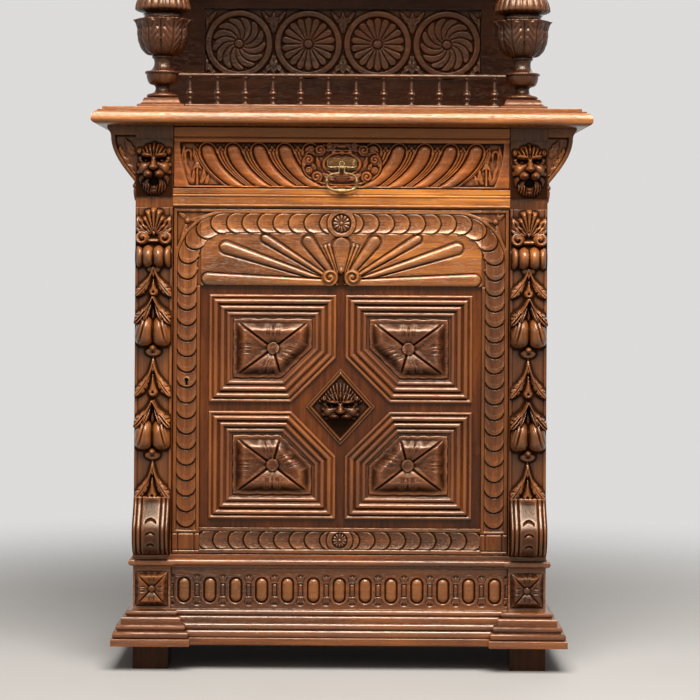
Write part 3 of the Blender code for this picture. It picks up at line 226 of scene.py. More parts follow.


# nicheShade is painted shade: a darker tint for the niche and the back boards
golden, honey, nicheShade, bare = (1.62, 1.74, 1.30), (1.02, 1.00, 0.86), (0.32, 0.27, 0.26), (2.6, 3.2, 3.8)
oakCarved = oakFinish("oakCarved", "grain")
oakGolden = oakFinish("oakGolden", "grain", golden, 1.0, 0.80, 0.45)
oakHoney = oakFinish("oakHoney", "grain", honey, 1.0, 0.85)
oakBase = oakFinish("oakBase", "grain", (0.96, 0.88, 0.70), 1.0, 0.80, 0.9)
# a lighter copy for the waist: painted light, as the consoles above shade it
oakWaistLit = oakFinish("oakWaistLit", "grain", (1.32, 1.22, 0.95), 1.0, 0.85, 1.0)
oakFruit = oakFinish("oakFruit", "grain", (1.16, 1.18, 1.24), 1.0, 0.80)
oakPanel = oakFinish("oakPanel", "grain", (0.98, 0.90, 0.76), 0.82, 0.76, 0.4)
# a much lighter copy for the drawer front: painted light against the top board's shadow
oakDrawerLit = oakFinish("oakDrawerLit", "grain", (1.92, 1.74, 1.30))
# a darker copy for the columns, balusters and gallery rail: painted shade under the canopy
oakTurnedShaded = oakFinish("oakTurnedShaded", "grain", (0.36, 0.30, 0.28), 1.2, 0.6)
oakCanopy = oakFinish("oakCanopy", "grain", patinaAndShade=0.3)
# a paler copy for the drawer rail
oakPaleRail = oakFinish("oakPaleRail", "grain", (2.35, 2.75, 2.1))
oakShaded = oakFinish("oakShaded", "grain", nicheShade, 0.9, 0.35)
oakAcross = oakFinish("oakAcross", "x")
oakUpright = oakFinish("oakUpright", "z")
oakBackUprightShaded = oakFinish("oakBackUprightShaded", "z", nicheShade)
# the back frame behind the gallery much darker: painted shade, shared by the back plinth rail
oakBackAcrossShaded = oakFinish("oakBackAcrossShaded", "x", (0.17, 0.135, 0.13), 1.0, 0.15)
oakField = oakFinish("oakField", "z", (0.61, 0.50, 0.42), 1.0, 0.45)
# a darker copy for the feet: painted shade under the cabinet
oakFootShaded = oakFinish("oakFootShaded", "z", (0.34, 0.30, 0.30), 1.0, 0.2)
oakBareAcross = oakFinish("oakBareAcross", "x", bare)
oakBareDeepwise = oakFinish("oakBareDeepwise", "y", bare)
brassAged = brassFinish("brassAged", 0.52)
brassDull = brassFinish("brassDull", 0.92, (0.095, 0.047, 0.017))
ironDark = ironFinish("ironDark")
print("finishes made")


# Mesh tools: heights and outlines in millimetres, meshes in metres
sharpTurn = 38  # degrees from which a moulding's faces show an edge
bedding = 0.0002  # metres that a laid-on piece is let into its ground


def gridFaces(rows, columns, wrap=False):
    index = np.arange(rows * columns).reshape(rows, columns)
    right = np.roll(index, -1, axis=1)
    last = columns if wrap else columns - 1
    corners = (index[:-1, :last], right[:-1, :last], right[1:, :last], index[1:, :last])
    return np.stack([c.ravel() for c in corners], axis=1).tolist()


def tubeFaces(rows, sides):  # rings joined up, with both ends closed
    ends = [[*range(sides)][::-1], [*range((rows - 1) * sides, rows * sides)]]
    return gridFaces(rows, sides, wrap=True) + ends


def loopFaces(rows, sides):  # rings joined up, and the last one to the first
    index = np.arange(rows * sides).reshape(rows, sides)
    index = np.vstack([index, index[:1]])
    right = np.roll(index, -1, axis=1)
    corners = (index[:-1], index[1:], right[1:], right[:-1])
    return np.stack([c.ravel() for c in corners], axis=1).tolist()


def densified(section, step):  # points about a step apart, none of them twice
    section = np.array(section, float)
    section = section[np.insert(np.hypot(*np.diff(section, axis=0).T) > 0.01, 0, True)]
    dense = [section[0]]
    for a, b in zip(section, section[1:]):
        steps = max(1, int(np.hypot(*(b - a)) / step))
        dense += [a + (b - a) * (i + 1) / steps for i in range(steps)]
    return np.array(dense)


def softened(heights, reach, wrap=False):  # three box blurs
    soft = heights
    for axis in (0, 1):
        size = heights.shape[axis]
        span = max(1, min(int(round(reach)), size // 2 - 1))
        mode = "wrap" if wrap and axis == 1 else "edge"
        for _ in range(3):
            pad = [(0, 0), (0, 0)]
            pad[axis] = (span + 1, span)
            total = np.cumsum(np.pad(soft, pad, mode=mode), axis=axis)
            high = np.take(total, range(2 * span + 1, 2 * span + 1 + size), axis=axis)
            low = np.take(total, range(0, size), axis=axis)
            soft = (high - low) / (2 * span + 1)
    return soft


def hollows(heights, cell, wrap=False):  # above 0 in a hollow, under 0 on a crest
    near = softened(heights, 1.6 / cell, wrap) - heights
    far = softened(heights, 5.0 / cell, wrap) - heights
    return np.clip(near / 1.3 + far / 6.0, -1.0, 1.4)


def store(mesh, name, values, domain="POINT"):  # numbers, or places in rows of three
    values = np.asarray(values, float)
    kind, key = ("FLOAT", "value") if values.ndim == 1 else ("FLOAT_VECTOR", "vector")
    mesh.attributes.new(name, kind, domain).data.foreach_set(key, values.ravel())


def addPiece(name, points, faces, body, nodes, finish, slot, hollow, grain=None, cornerGrain=None,
             smooth=True, sharp=None):
    mesh = bpy.data.meshes.new(name)
    mesh.from_pydata(np.asarray(points).tolist(), [], faces)
    mesh.polygons.foreach_set("use_smooth", np.broadcast_to(smooth, len(faces)).tolist())
    store(mesh, "hollow", hollow)
    shift = boardShift.uniform(-3, 3, 3)
    if grain is not None:
        store(mesh, "grain", grain + shift)
    if cornerGrain is not None:
        store(mesh, "grain", cornerGrain + shift, "CORNER")
    mesh.update()
    if sharp is not None:
        mesh.set_sharp_from_angle(angle=math.radians(sharp))
    dress(bpy.data.objects.new(name, mesh), body, nodes, finish)


def dress(piece, body, nodes, finish):
    if piece.name not in bpy.context.scene.collection.objects:
        bpy.context.scene.collection.objects.link(piece)
    if finish is not None:
        piece.data.materials.clear()
        piece.data.materials.append(finish)
    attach(piece, body)
    if nodes:
        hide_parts(*nodes)


def grainOf(points, along):  # the grain axis comes first
    order = {"x": (0, 1, 2), "y": (1, 0, 2), "z": (2, 0, 1)}[along]
    return points[..., order]


def carvedSheet(name, x, y, z, backY, heights, cell, body, nodes, along="x", finish=None,
                slot="waxed_oak", grain=None, stainAndShading=0.0):
    # front sheet x, y, z as grids in metres, walled back to a flat rear plane
    rows, columns = x.shape
    front = np.stack([x, y, z], axis=-1)
    corners = front[[0, 0, -1, -1], [0, -1, -1, 0]].copy()
    corners[:, 1] = backY
    points = np.concatenate([front.reshape(-1, 3), corners])
    index = np.arange(rows * columns).reshape(rows, columns)
    b0, b1, b2, b3 = range(rows * columns, rows * columns + 4)
    faces = gridFaces(rows, columns)
    flat = [
        [b0, b3, b2, b1],
        [index[0, 0], b0, b1, *index[0, :0:-1]],
        [*index[-1], b2, b3],
        [*index[:, 0], b3, b0],
        [index[0, -1], b1, b2, *index[:0:-1, -1]],
    ]
    flat = [[int(i) for i in face] for face in flat]
    smooth = [True] * len(faces) + [False] * len(flat)
    # stainAndShading adds stains, and painted shade and light, to the hollow measure
    hollow = np.concatenate([(hollows(heights, cell) + stainAndShading).ravel(), np.zeros(4)])
    if grain is None:
        grain = grainOf(points, along)
    else:
        grain = np.concatenate([grain.reshape(-1, 3), grainOf(points[-4:], along)])
    addPiece(name, points, faces + flat, body, nodes, finish or oakCarved, slot, hollow, grain,
             smooth=smooth)


def carvedBoard(name, node, body, carve, face=None, cell=1.1, along="x", finish=None, slot="waxed_oak",
                stainAndShading=None):
    # a board in the place of its node: carve(x, z) in mm from the node's centre line and foot
    low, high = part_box(node)
    face = low[1] if face is None else face
    wide, tall = (high[0] - low[0]) / mm, (high[2] - low[2]) / mm
    across = np.linspace(-wide / 2, wide / 2, max(3, int(wide / cell)))
    up = np.linspace(0, tall, max(3, int(tall / cell)))
    x, z = np.meshgrid(across, up)
    heights = carve(x, z)
    middle = (low[0] + high[0]) / 2
    carvedSheet(name, middle + x * mm, face - heights * mm, low[2] + z * mm, high[1], heights, cell, body,
                [node], along, finish, slot, stainAndShading=stainAndShading(x, z) if stainAndShading else 0.0)


turns = np.linspace(0, math.pi / 2, 7)[1:]
moulds = {  # shares of a move's reach and level, step by step
    "to": [(1, 1)],
    "upFirst": [(1 - math.cos(t), math.sin(t)) for t in turns],
    "outFirst": [(math.sin(t), 1 - math.cos(t)) for t in turns],
    "bead": [(math.sin(2 * t), (1 - math.cos(2 * t)) / 2) for t in turns],
}


def drawn(start, *moves):  # a moulding's section, (reach, level) in mm
    points = [start]
    for kind, dx, dz in moves:
        x, z = points[-1]
        points += [(x + dx * a, z + dz * b) for a, b in moulds[kind]]
    return points


def sectionHollows(section):
    points = np.array(section, float)
    lengths = np.concatenate([[0], np.cumsum(np.hypot(*np.diff(points, axis=0).T))])
    weights = np.exp(-((lengths[:, None] - lengths[None]) / 3.5) ** 2)
    return np.clip((weights @ points[:, 0] / weights.sum(1) - points[:, 0]) / 2.2, -0.8, 1.2)


def grown(outline, reaches):  # a counter-clockwise outline with each edge moved out
    outline = np.asarray(outline, float)
    edges = np.roll(outline, -1, axis=0) - outline
    edges /= np.hypot(*edges.T)[:, None]
    normal = np.stack([edges[:, 1], -edges[:, 0]], axis=1)
    offset = (normal * outline).sum(1) + np.asarray(reaches)
    before, beforeOffset = np.roll(normal, 1, axis=0), np.roll(offset, 1)
    cross = before[:, 0] * normal[:, 1] - normal[:, 0] * before[:, 1]
    px = (beforeOffset * normal[:, 1] - offset * before[:, 1]) / cross
    py = (before[:, 0] * offset - normal[:, 0] * beforeOffset) / cross
    return np.stack([px, py], axis=1)


def loftedPiece(name, rings, hollow, body, nodes, finish=None, along=None):
    # rings of points bottom to top; every face takes its grain along its own edge
    rings = np.asarray(rings, float)
    count, sides = rings.shape[:2]
    points = rings.reshape(-1, 3)
    faces = tubeFaces(count, sides)
    lengths = np.concatenate([[0], np.cumsum(np.linalg.norm(np.diff(rings.mean(1), axis=0), axis=1)
                                             + np.linalg.norm(np.diff(rings[:, 0], axis=0), axis=1))])
    corner = []
    for face in faces[:-2]:
        ring = [i // sides for i in face]
        spots = points[face]
        direction = spots[1] - spots[0]
        direction = direction / max(np.linalg.norm(direction), 1e-9)
        if along is not None:
            corner += grainOf(spots, along).tolist()
        else:
            corner += [(float(s @ direction), lengths[r], 0.0) for s, r in zip(spots, ring)]
    for end in faces[-2:]:
        corner += grainOf(points[end], along or "x").tolist()
    addPiece(name, points, faces, body, nodes, finish or oakCarved, "waxed_oak", np.repeat(hollow, sides),
             cornerGrain=np.array(corner), sharp=sharpTurn)


def pushedPiece(name, rings, hollow, along, body, nodes, finish=None, **more):
    # one section pushed along a line, as rings from end to end
    points = rings.reshape(-1, 3)
    addPiece(name, points, tubeFaces(*rings.shape[:2]), body, nodes, finish or oakCarved, "waxed_oak",
             np.tile(hollow, len(rings)), grainOf(points, along), **more)


def mouldedSlab(name, outline, moving, section, level, body, nodes, topHollow=None, **more):
    # an outline in metres whose moving edges follow a section in mm over a level in metres
    hollow = sectionHollows(section)
    if topHollow is not None:
        hollow[-1] = topHollow
    rings = []
    for reach, up in section:
        flat = grown(outline, [reach * mm * edge for edge in moving])
        rings.append(np.column_stack([flat, np.full(len(flat), level + up * mm)]))
    loftedPiece(name, rings, hollow, body, nodes, **more)


def runMoulding(name, ends, section, face, level, backY, body, nodes, **more):
    # a section pushed along x, its reach towards the viewer
    edge = [(face - reach * mm, level + up * mm) for reach, up in section]
    edge += [(backY, edge[-1][1]), (backY, edge[0][1])]
    ring = np.array([(0, y, z) for y, z in edge])
    rings = np.array([ring + (end, 0, 0) for end in np.linspace(ends[1], ends[0], 12)])
    hollow = np.concatenate([sectionHollows(section), [0, 0]])
    pushedPiece(name, rings, hollow, "x", body, nodes, sharp=sharpTurn, **more)


def turnedPoints(section, sides):
    angle = np.linspace(0, 2 * np.pi, sides, endpoint=False)
    points = [(r * math.cos(a) * mm, r * math.sin(a) * mm, z * mm) for r, z in section for a in angle]
    return np.array(points), tubeFaces(len(section), sides), np.repeat(sectionHollows(section), sides)


# Carver's shapes: heights in mm over a flat ground
def unit(value):
    return np.clip(value, 0.0, 1.0)


def ease(low, high, value):
    t = unit((value - low) / (high - low))
    return t * t * (3 - 2 * t)


def highest(*heights):
    return np.maximum.reduce(heights)


def blended(soft, *heights):  # highest, with the joins rounded over
    top = highest(*heights)
    return top + soft * np.log(sum(np.exp((h - top) / soft) for h in heights))


def dome(x, z, cx, cz, rx, rz, rise):
    return rise * np.sqrt(unit(1 - ((x - cx) / rx) ** 2 - ((z - cz) / rz) ** 2))


def ridge(distance, halfWidth, rise):
    return rise * np.sqrt(unit(1 - (distance / halfWidth) ** 2))


def pit(x, z, cx, cz, rx, rz, depth):
    return -depth * np.exp(-(((x - cx) / rx) ** 2 + ((z - cz) / rz) ** 2))


def leaf(x, z, foot, tip, halfWidth, rise, lobes=0, bend=0.0, fullness=0.72):
    # a fullness over 1 swells the tip
    dx, dz = tip[0] - foot[0], tip[1] - foot[1]
    length = math.hypot(dx, dz)
    along = ((x - foot[0]) * dx + (z - foot[1]) * dz) / length ** 2
    inside = unit(along)
    aside = ((z - foot[1]) * dx - (x - foot[0]) * dz) / length - bend * length * 4 * inside * (1 - inside)
    girth = halfWidth * np.sin(np.pi * inside ** fullness) ** 0.75
    if lobes:
        girth = girth * (0.74 + 0.26 * np.abs(np.cos(np.pi * lobes * inside)))
    body = unit(1 - (aside / np.maximum(girth, 0.15)) ** 2)
    lift = rise * np.sqrt(body) * (0.60 + 0.40 * inside)
    if lobes:  # side veins
        swing = np.cos(2 * np.pi * (lobes * inside + np.abs(aside) / halfWidth * 0.6))
        lift = lift * (1 - 0.16 * (0.5 + 0.5 * swing))
    vein = 0.24 * rise * np.exp(-(aside / (0.09 * halfWidth + 0.45)) ** 2)
    return np.where((along > 0) & (along < 1) & (body > 0), np.maximum(lift - vein, 0.15 * rise), 0.0)


def volute(x, z, cx, cz, radius, rise, hand=1, turns=1.7):
    dx, dz = (x - cx) * hand, z - cz
    r = np.hypot(dx, dz)
    angle = np.arctan2(dz, dx) / (2 * np.pi)
    coil = 0.5 + 0.5 * np.cos(2 * np.pi * (turns * r / radius - angle))
    body = np.sqrt(unit(1 - (r / radius) ** 5)) * (0.62 + 0.38 * coil)
    return rise * np.maximum(body * (r < radius), 0.95 * np.sqrt(unit(1 - (r / (0.24 * radius)) ** 2)))


def rosette(x, z, cx, cz, radius, petals, rise):
    dx, dz = x - cx, z - cz
    r = np.hypot(dx, dz)
    angle = np.arctan2(dz, dx)
    petal = np.abs(np.cos(petals / 2 * angle))
    reach = radius * (0.84 + 0.16 * petal ** 0.5)
    body = np.sqrt(unit(1 - (r / reach) ** 6)) * (0.30 + 0.70 * petal ** 0.55) * (0.62 + 0.38 * r / radius)
    middle = 1.05 * np.sqrt(unit(1 - (r / (0.24 * radius)) ** 2))
    return rise * np.maximum(np.where(r < reach, body, 0.0), middle)


def scales(along, aside, halfWidth, pitch, rise):  # overlapping round scales down a band
    arc = np.sqrt(np.clip(halfWidth ** 2 - aside ** 2, 0, None))
    step = (along - arc) / pitch
    share = step - np.floor(step)
    lift = 0.10 + 0.66 * share + 0.07 * ease(0.66, 0.80, share) - 0.06 * ease(0.95, 1.0, share)
    lift = lift + 0.22 * ease(0.45, 0.95, np.abs(aside) / halfWidth) * (0.3 + 0.7 * share)  # dished
    lift = lift - 0.30 * ease(0.14, 0.03, share)  # undercut
    return np.where(np.abs(aside) < halfWidth, rise * lift, 0.0)


def scaleCutShade(along, aside, halfWidth, pitch):  # painted shade of two short cuts at the root of every scale, in place of carved ones
    step = (along - np.sqrt(np.clip(halfWidth ** 2 - aside ** 2, 0, None))) / pitch
    share = step - np.floor(step)
    return 0.95 * np.exp(-((np.abs(aside) - 2.2) / 0.9) ** 2) * ease(0.44, 0.34, share)


def distanceInside(x, z, outline):
    # mm inside a convex counter-clockwise outline, and which edge is nearest
    outline = np.asarray(outline, float)
    following = np.roll(outline, -1, axis=0)
    best, alongBest = None, None
    for (x0, z0), (x1, z1) in zip(outline, following):
        length = math.hypot(x1 - x0, z1 - z0)
        dx, dz = (x1 - x0) / length, (z1 - z0) / length
        inside = (z - z0) * dx - (x - x0) * dz
        along = (x - x0) * dx + (z - z0) * dz
        if best is None:
            best, alongBest = inside, along
        else:
            alongBest = np.where(inside < best, along, alongBest)
            best = np.minimum(inside, best)
    return best, alongBest


def overSection(distance, section):  # height of a moulding at a distance in from its edge
    points = np.array(section, float)
    return np.interp(distance, points[:, 0], points[:, 1])


# Door frame: one carving that runs over rails and stiles
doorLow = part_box("door_stile_lock")[0]
doorFace = doorLow[1]
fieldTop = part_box("door_rail_top")[0][2]
doorCarving = {
    "scalePitch": 29.0,
    "scaleStart": 7.0,
    "bandHalf": 18.0,
    "bandLevel": 117.0,  # middle of the band over the field's top edge
    "cornerRadius": 78.0,
    "stileMiddle": 288.0,
    "ground": -5.0,
    "scaleRise": 5.8,
    # angle, reach, half width
    "lobes": ((90.0, 90.0, 17.0), (53.0, 113.0, 11.0), (31.6, 174.0, 7.6), (18.0, 238.0, 10.6)),
    "reeds": ((73.0, 92.0), (67.5, 92.0)),  # angle, reach
    "barReach": 262.0,
    "footBlock": -461.0,
    "bottomBand": -476.0,
    "bottomHalf": 16.5,
    "bottomPitch": 29.0 * 0.985,
    "bottomStart": 9.0,
}
bottomMiddle = doorCarving["bottomBand"] + (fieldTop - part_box("door_rail_bottom")[0][2]) / mm


def doorBand(x, z):  # distance along and across the band of scales
    c = doorCarving
    turnX, turnZ = c["stileMiddle"] - c["cornerRadius"], c["bandLevel"] - c["cornerRadius"]
    side = np.abs(x)
    angle = np.arctan2(side - turnX, z - turnZ)
    radius = np.hypot(side - turnX, z - turnZ)
    quarter = c["cornerRadius"] * np.pi / 2
    along = np.where(side < turnX, side, np.where(z < turnZ, turnX + quarter + turnZ - z,
                                                   turnX + c["cornerRadius"] * angle))
    aside = np.where(side < turnX, z - c["bandLevel"], np.where(z < turnZ, side - c["stileMiddle"],
                                                                 radius - c["cornerRadius"]))
    return along, aside


def alongRay(side, up, degrees):  # distance along a ray of the fan, and aside of it
    turn = math.radians(degrees)
    return side * math.cos(turn) + up * math.sin(turn), up * math.cos(turn) - side * math.sin(turn)


def doorFan(x, z):
    c = doorCarving
    side, up = np.abs(x), z - 1.0
    lift = 2.5 - 0.004 * side  # ground left nearly flush, lobes let into it
    for degrees, reach, half in c["lobes"]:
        along, aside = alongRay(side, up, degrees)
        middle = reach - half
        girth = np.where(along < middle, 1.4 + (half - 1.4) * unit(along / middle) ** 0.9,
                         half * np.sqrt(unit(1 - ((along - middle) / half) ** 2)))
        rim = np.where(along < middle, np.abs(aside) - girth, np.hypot(along - middle, aside) - half)
        body = unit(1 - np.abs(aside / np.maximum(girth, 0.1)) ** 2.2)
        lobe = 0.2 + 5.6 * np.sqrt(body)
        wide = 2.4 + 3.2 * unit(along / middle) ** 2  # gouge opens towards the head
        gouge = -1.0 + 3.6 * unit((rim - 1.2) / (wide - 1.2)) ** 1.5
        lift = np.where((rim < wide) & (along > 4), np.minimum(lift, gouge), lift)
        lift = np.where((body > 0) & (along > 4) & (along < reach), np.maximum(lift, lobe), lift)
    for degrees, reach in c["reeds"]:
        along, aside = alongRay(side, up, degrees)
        girth = 0.8 + 2.6 * unit(along / reach)
        inside = (np.abs(aside) < girth + 1.4) & (along > 26) & (along < reach - 8)
        reed = ridge(aside, girth, 4.0) * ease(reach - 8, reach - 14, along)
        lift = np.where(inside, np.maximum(reed, 0.2) + 0.4 * (along > 40), lift)
    tall = 5.6 + 6.6 * unit(side / c["barReach"])  # the lowest lobe lies along the rail
    # from the bar's middle line, round at its end
    away = np.hypot(np.maximum(side - c["barReach"] + 13, 0), z - tall)
    bar = 0.6 + 5.2 * np.sqrt(unit(1 - (away / tall) ** 4))
    under = away - tall
    lift = np.where((under < 3.0) & (side > 24), np.minimum(lift, -0.6 + 4.4 * ease(1.6, 3.0, under)), lift)
    return np.where((under < 0) & (side > 24), np.maximum(bar, lift), lift)


def doorFrameCarving(x, z):
    c = doorCarving
    along, aside = doorBand(x, z)
    half = c["bandHalf"]
    run = along + c["scaleStart"]
    lift = np.where(along > 12, scales(run, aside, half, c["scalePitch"], c["scaleRise"]), 0.6)
    disc = np.hypot(x, z - c["bandLevel"])  # flower in a plain round
    plain = 5.2 - 3.4 * ease(19.0, 18.2, disc)
    lift = np.where(disc < 26.5, np.maximum(plain, rosette(x, z, 0, c["bandLevel"], 17.0, 12, 5.0)), lift)
    lift = lift - 3.0 * np.exp(-((disc - 27.2) / 0.8) ** 2) * (np.abs(aside) < half)
    tuft = np.abs(run / c["scalePitch"] - np.round(run / c["scalePitch"])) * c["scalePitch"]
    ball = dome(tuft, aside, 0, -half - 0.2, 3.4, 3.0, 3.8) * (along > 34) * (z > 20)
    lift = np.where(aside < -half + 4, np.maximum(lift, ball), lift)
    outer = np.abs(aside) - half
    fillet = 5.0 * ease(0.6, 1.4, outer) * ease(7.0, 6.2, outer)
    lift = np.maximum(lift, fillet * ((aside > 0) | (z < -1)))  # none between the scales and the fan
    fan = (aside < -half - 0.6) & (z > -2) & (np.abs(x) < 263)
    lift = np.where(fan, np.maximum(doorFan(x, z), np.where(aside > -half - 6, lift, -9)), lift)
    # leaf and ball in the corners outside the turn
    side = np.abs(x)
    corner = (aside > half + 6.5) & (z > 20)
    spray = highest(dome(side, z, 288, 121, 5.8, 5.8, 7.0),
                    leaf(side, z, (283, 121), (246, 135), 4.6, 5.4, 0, 0.05),
                    leaf(side, z, (290, 115), (304.5, 76), 4.6, 5.4, 0, -0.05),
                    leaf(side, z, (292, 126), (305, 136), 4.5, 4.8))
    lift = np.where(corner, np.maximum(spray, 0.8), lift)
    lift = np.where(corner & ((z > 138) | (side > 308)), 5.0, lift)
    # stiles: plain outer edge, plain square at the foot
    edge = (side > 308) & (z < 20)
    lift = np.where(edge, 5.0, lift)
    foot = z < c["footBlock"] + 3
    above, beside = np.abs(z - c["footBlock"] + 18), np.abs(side - c["stileMiddle"])
    square = 5.0 - 2.2 * np.exp(-((above - 15.5) / 1.1) ** 2)
    square = square - 2.2 * np.exp(-((beside - 15.5) / 1.1) ** 2) * (above < 16)
    lift = np.where(foot & (side > 263), square, lift)
    return c["ground"] + lift


def topRailCarving(x, z):
    ground = doorCarving["ground"]
    lift = doorFrameCarving(x, z) - ground
    lift = np.where((np.abs(x) < 10) & (z < 27), np.minimum(lift, -4.4 + 1.1 * np.abs(x)), lift)
    for hand in (-1, 1):
        lift = np.maximum(lift, volute(x, z, hand * 21.4, 15.8, 16.6, 9.5 - ground, hand))
    lift = np.maximum(lift, dome(x, z, 0, 29, 4.2, 7.0, 9.0))
    return ground + lift


def topRailShade(x, z):  # painted shade between the volutes and in the scale cuts; darker in the flower
    c = doorCarving
    flower = np.hypot(x, z - c["bandLevel"])
    along, aside = doorBand(x, z)
    cutShade = scaleCutShade(along + c["scaleStart"], aside, c["bandHalf"], c["scalePitch"]) * (flower > 29)
    return 1.3 * ease(9.0, 5.0, np.abs(x)) * ease(25.0, 20.0, z) + 0.65 * ease(19.5, 17.5, flower) + cutShade


def stileCarving(side):
    def carve(x, z):
        return doorFrameCarving(x + side * doorCarving["stileMiddle"], z - (fieldTop - doorLow[2]) / mm)

    return carve


keyhole = {"lining": (5.2, 3.3, 11.5), "hole": (4.2, 2.3, 10.5), "depth": 16.0}  # radius, half slot, slot


def keyShape(x, z, radius, half, slot):  # z from the middle of the round part
    return (np.hypot(x, z) < radius) | ((np.abs(x) < half) & (z < 0) & (z > -slot))


def lockStileCarving(x, z):
    lift = stileCarving(-1)(x, z)
    key = (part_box("keyhole_liner")[1][2] - doorLow[2]) / mm - keyhole["lining"][0]
    lift = np.where(keyShape(x, z - key, *keyhole["lining"]), 0.0, lift)
    return np.where(keyShape(x, z - key, *keyhole["hole"]), -keyhole["depth"], lift)


def bottomRailCarving(x, z):
    c = doorCarving
    side, aside = np.abs(x), z - bottomMiddle
    band = scales(side + c["bottomStart"], aside, c["bottomHalf"], c["bottomPitch"], c["scaleRise"])
    lift = np.where(side > 18, band, 0.6)
    disc = np.hypot(x, aside)
    plain = 5.2 - 3.4 * ease(15.6, 14.8, disc)
    lift = np.where(disc < 24.0, np.maximum(plain, rosette(x, z, 0, bottomMiddle, 14.0, 12, 5.0)), lift)
    lift = lift - 3.0 * np.exp(-((disc - 24.8) / 0.8) ** 2)
    outer = np.abs(aside) - c["bottomHalf"]
    lift = np.where(outer > 0, 5.0 * ease(0.4, 1.2, outer), lift)
    return c["ground"] + lift


def bottomRailShade(x, z):
    # painted shade in the scale cuts; darker in the flower
    c = doorCarving
    aside = z - bottomMiddle
    flower = np.hypot(x, aside)
    cutShade = scaleCutShade(np.abs(x) + c["bottomStart"], aside, c["bottomHalf"], c["bottomPitch"])
    return 0.65 * ease(16.0, 14.0, flower) + cutShade * (flower > 27)


carvedBoard("doorTopRail", "door_rail_top", "door", topRailCarving, face=doorFace, finish=oakGolden,
            stainAndShading=topRailShade)
carvedBoard("doorLockStile", "door_stile_lock", "door", lockStileCarving, face=doorFace, along="z")
carvedBoard("doorHingeStile", "door_stile_hinge", "door", stileCarving(1), face=doorFace, along="z")
carvedBoard("doorBottomRail", "door_rail_bottom", "door", bottomRailCarving, face=doorFace,
            finish=oakHoney, stainAndShading=bottomRailShade)
print("door frame carved")


# Door field: four mitred panels round a lozenge
panelCarving = {
    "cornerCut": 84.0,
    "section": (
        (0, 0), (0.3, 4.6), (1.2, 6.2), (3.4, 7.0), (5.8, 6.0), (6.8, 3.6), (8.0, 3.4), (8.6, 5.6),
        (10.2, 8.8), (12.9, 10.2), (15.6, 9.2), (17.6, 6.2), (18.3, 3.4), (20.4, 3.2), (21.0, 5.2),
        (22.8, 8.0), (25.6, 8.9), (28.4, 7.6), (30.0, 4.8), (30.6, 2.6), (33.2, 2.4), (33.8, 4.0),
        (36.6, 5.2), (39.6, 4.0), (40.6, 1.2), (44.5, 0.6),
    ),
    "moulding": 44.5,
    "cushion": 13.0,
    "cell": 1.05,
}


def cushionCarving(x, z, depth, ribs, rise, rim=0.13, notch=0.02, flute=0.085):
    # pillow of fluted lobes round a boss, parted by leaf ribs that run out to the given points
    r = np.maximum(np.hypot(x, z), 0.01)
    reach = float(np.max(depth))
    boss = 0.20 * reach
    angles = np.sort([math.atan2(b, a) for a, b in ribs])
    here = np.arctan2(z, x)
    order = np.searchsorted(angles, here)
    before, after = angles[order - 1], angles[order % len(angles)]
    span = np.mod(after - before, 2 * np.pi)
    share = np.mod(here - before, 2 * np.pi) / span  # 0 to 1 from rib to rib
    toRib = r * np.minimum(np.mod(here - before, 2 * np.pi), np.mod(after - here, 2 * np.pi))
    share = np.abs(share - 0.5)
    scallop = notch * reach * (0.5 + 0.5 * np.cos(2 * np.pi * 4 * share))
    inward = np.maximum(depth - scallop, 0) / reach
    # rim, roll, fall to the boss
    roll = 0.20 * ease(0, 0.03, inward) + 0.80 * ease(rim, rim + 0.29, inward)
    pillow = rise * roll * (1 - 0.46 * unit((inward - rim - 0.29) / (0.71 - rim)) ** 1.2)
    flutes = sum(np.exp(-((share * r - g * reach) / (0.016 * reach)) ** 2) for g in (0, 0.075, 0.115))
    pillow = pillow - flute * rise * flutes * ease(0.18, 0.30, inward) * ease(0.66, 0.50, inward)
    pillow = pillow * (1 - 0.50 * np.exp(-(toRib / (0.030 * reach)) ** 2) * ease(0.10, 0.24, inward))
    knob = (0.54 * rise + dome(x, z, 0, 0, boss * 1.2, boss * 1.2, 0.14 * rise)) * (r < boss)
    ring = pit(x, z, 0, 0, boss * 1.3, boss * 1.3, 0.36 * rise)
    return np.maximum(pillow + ring * (r > boss), knob)


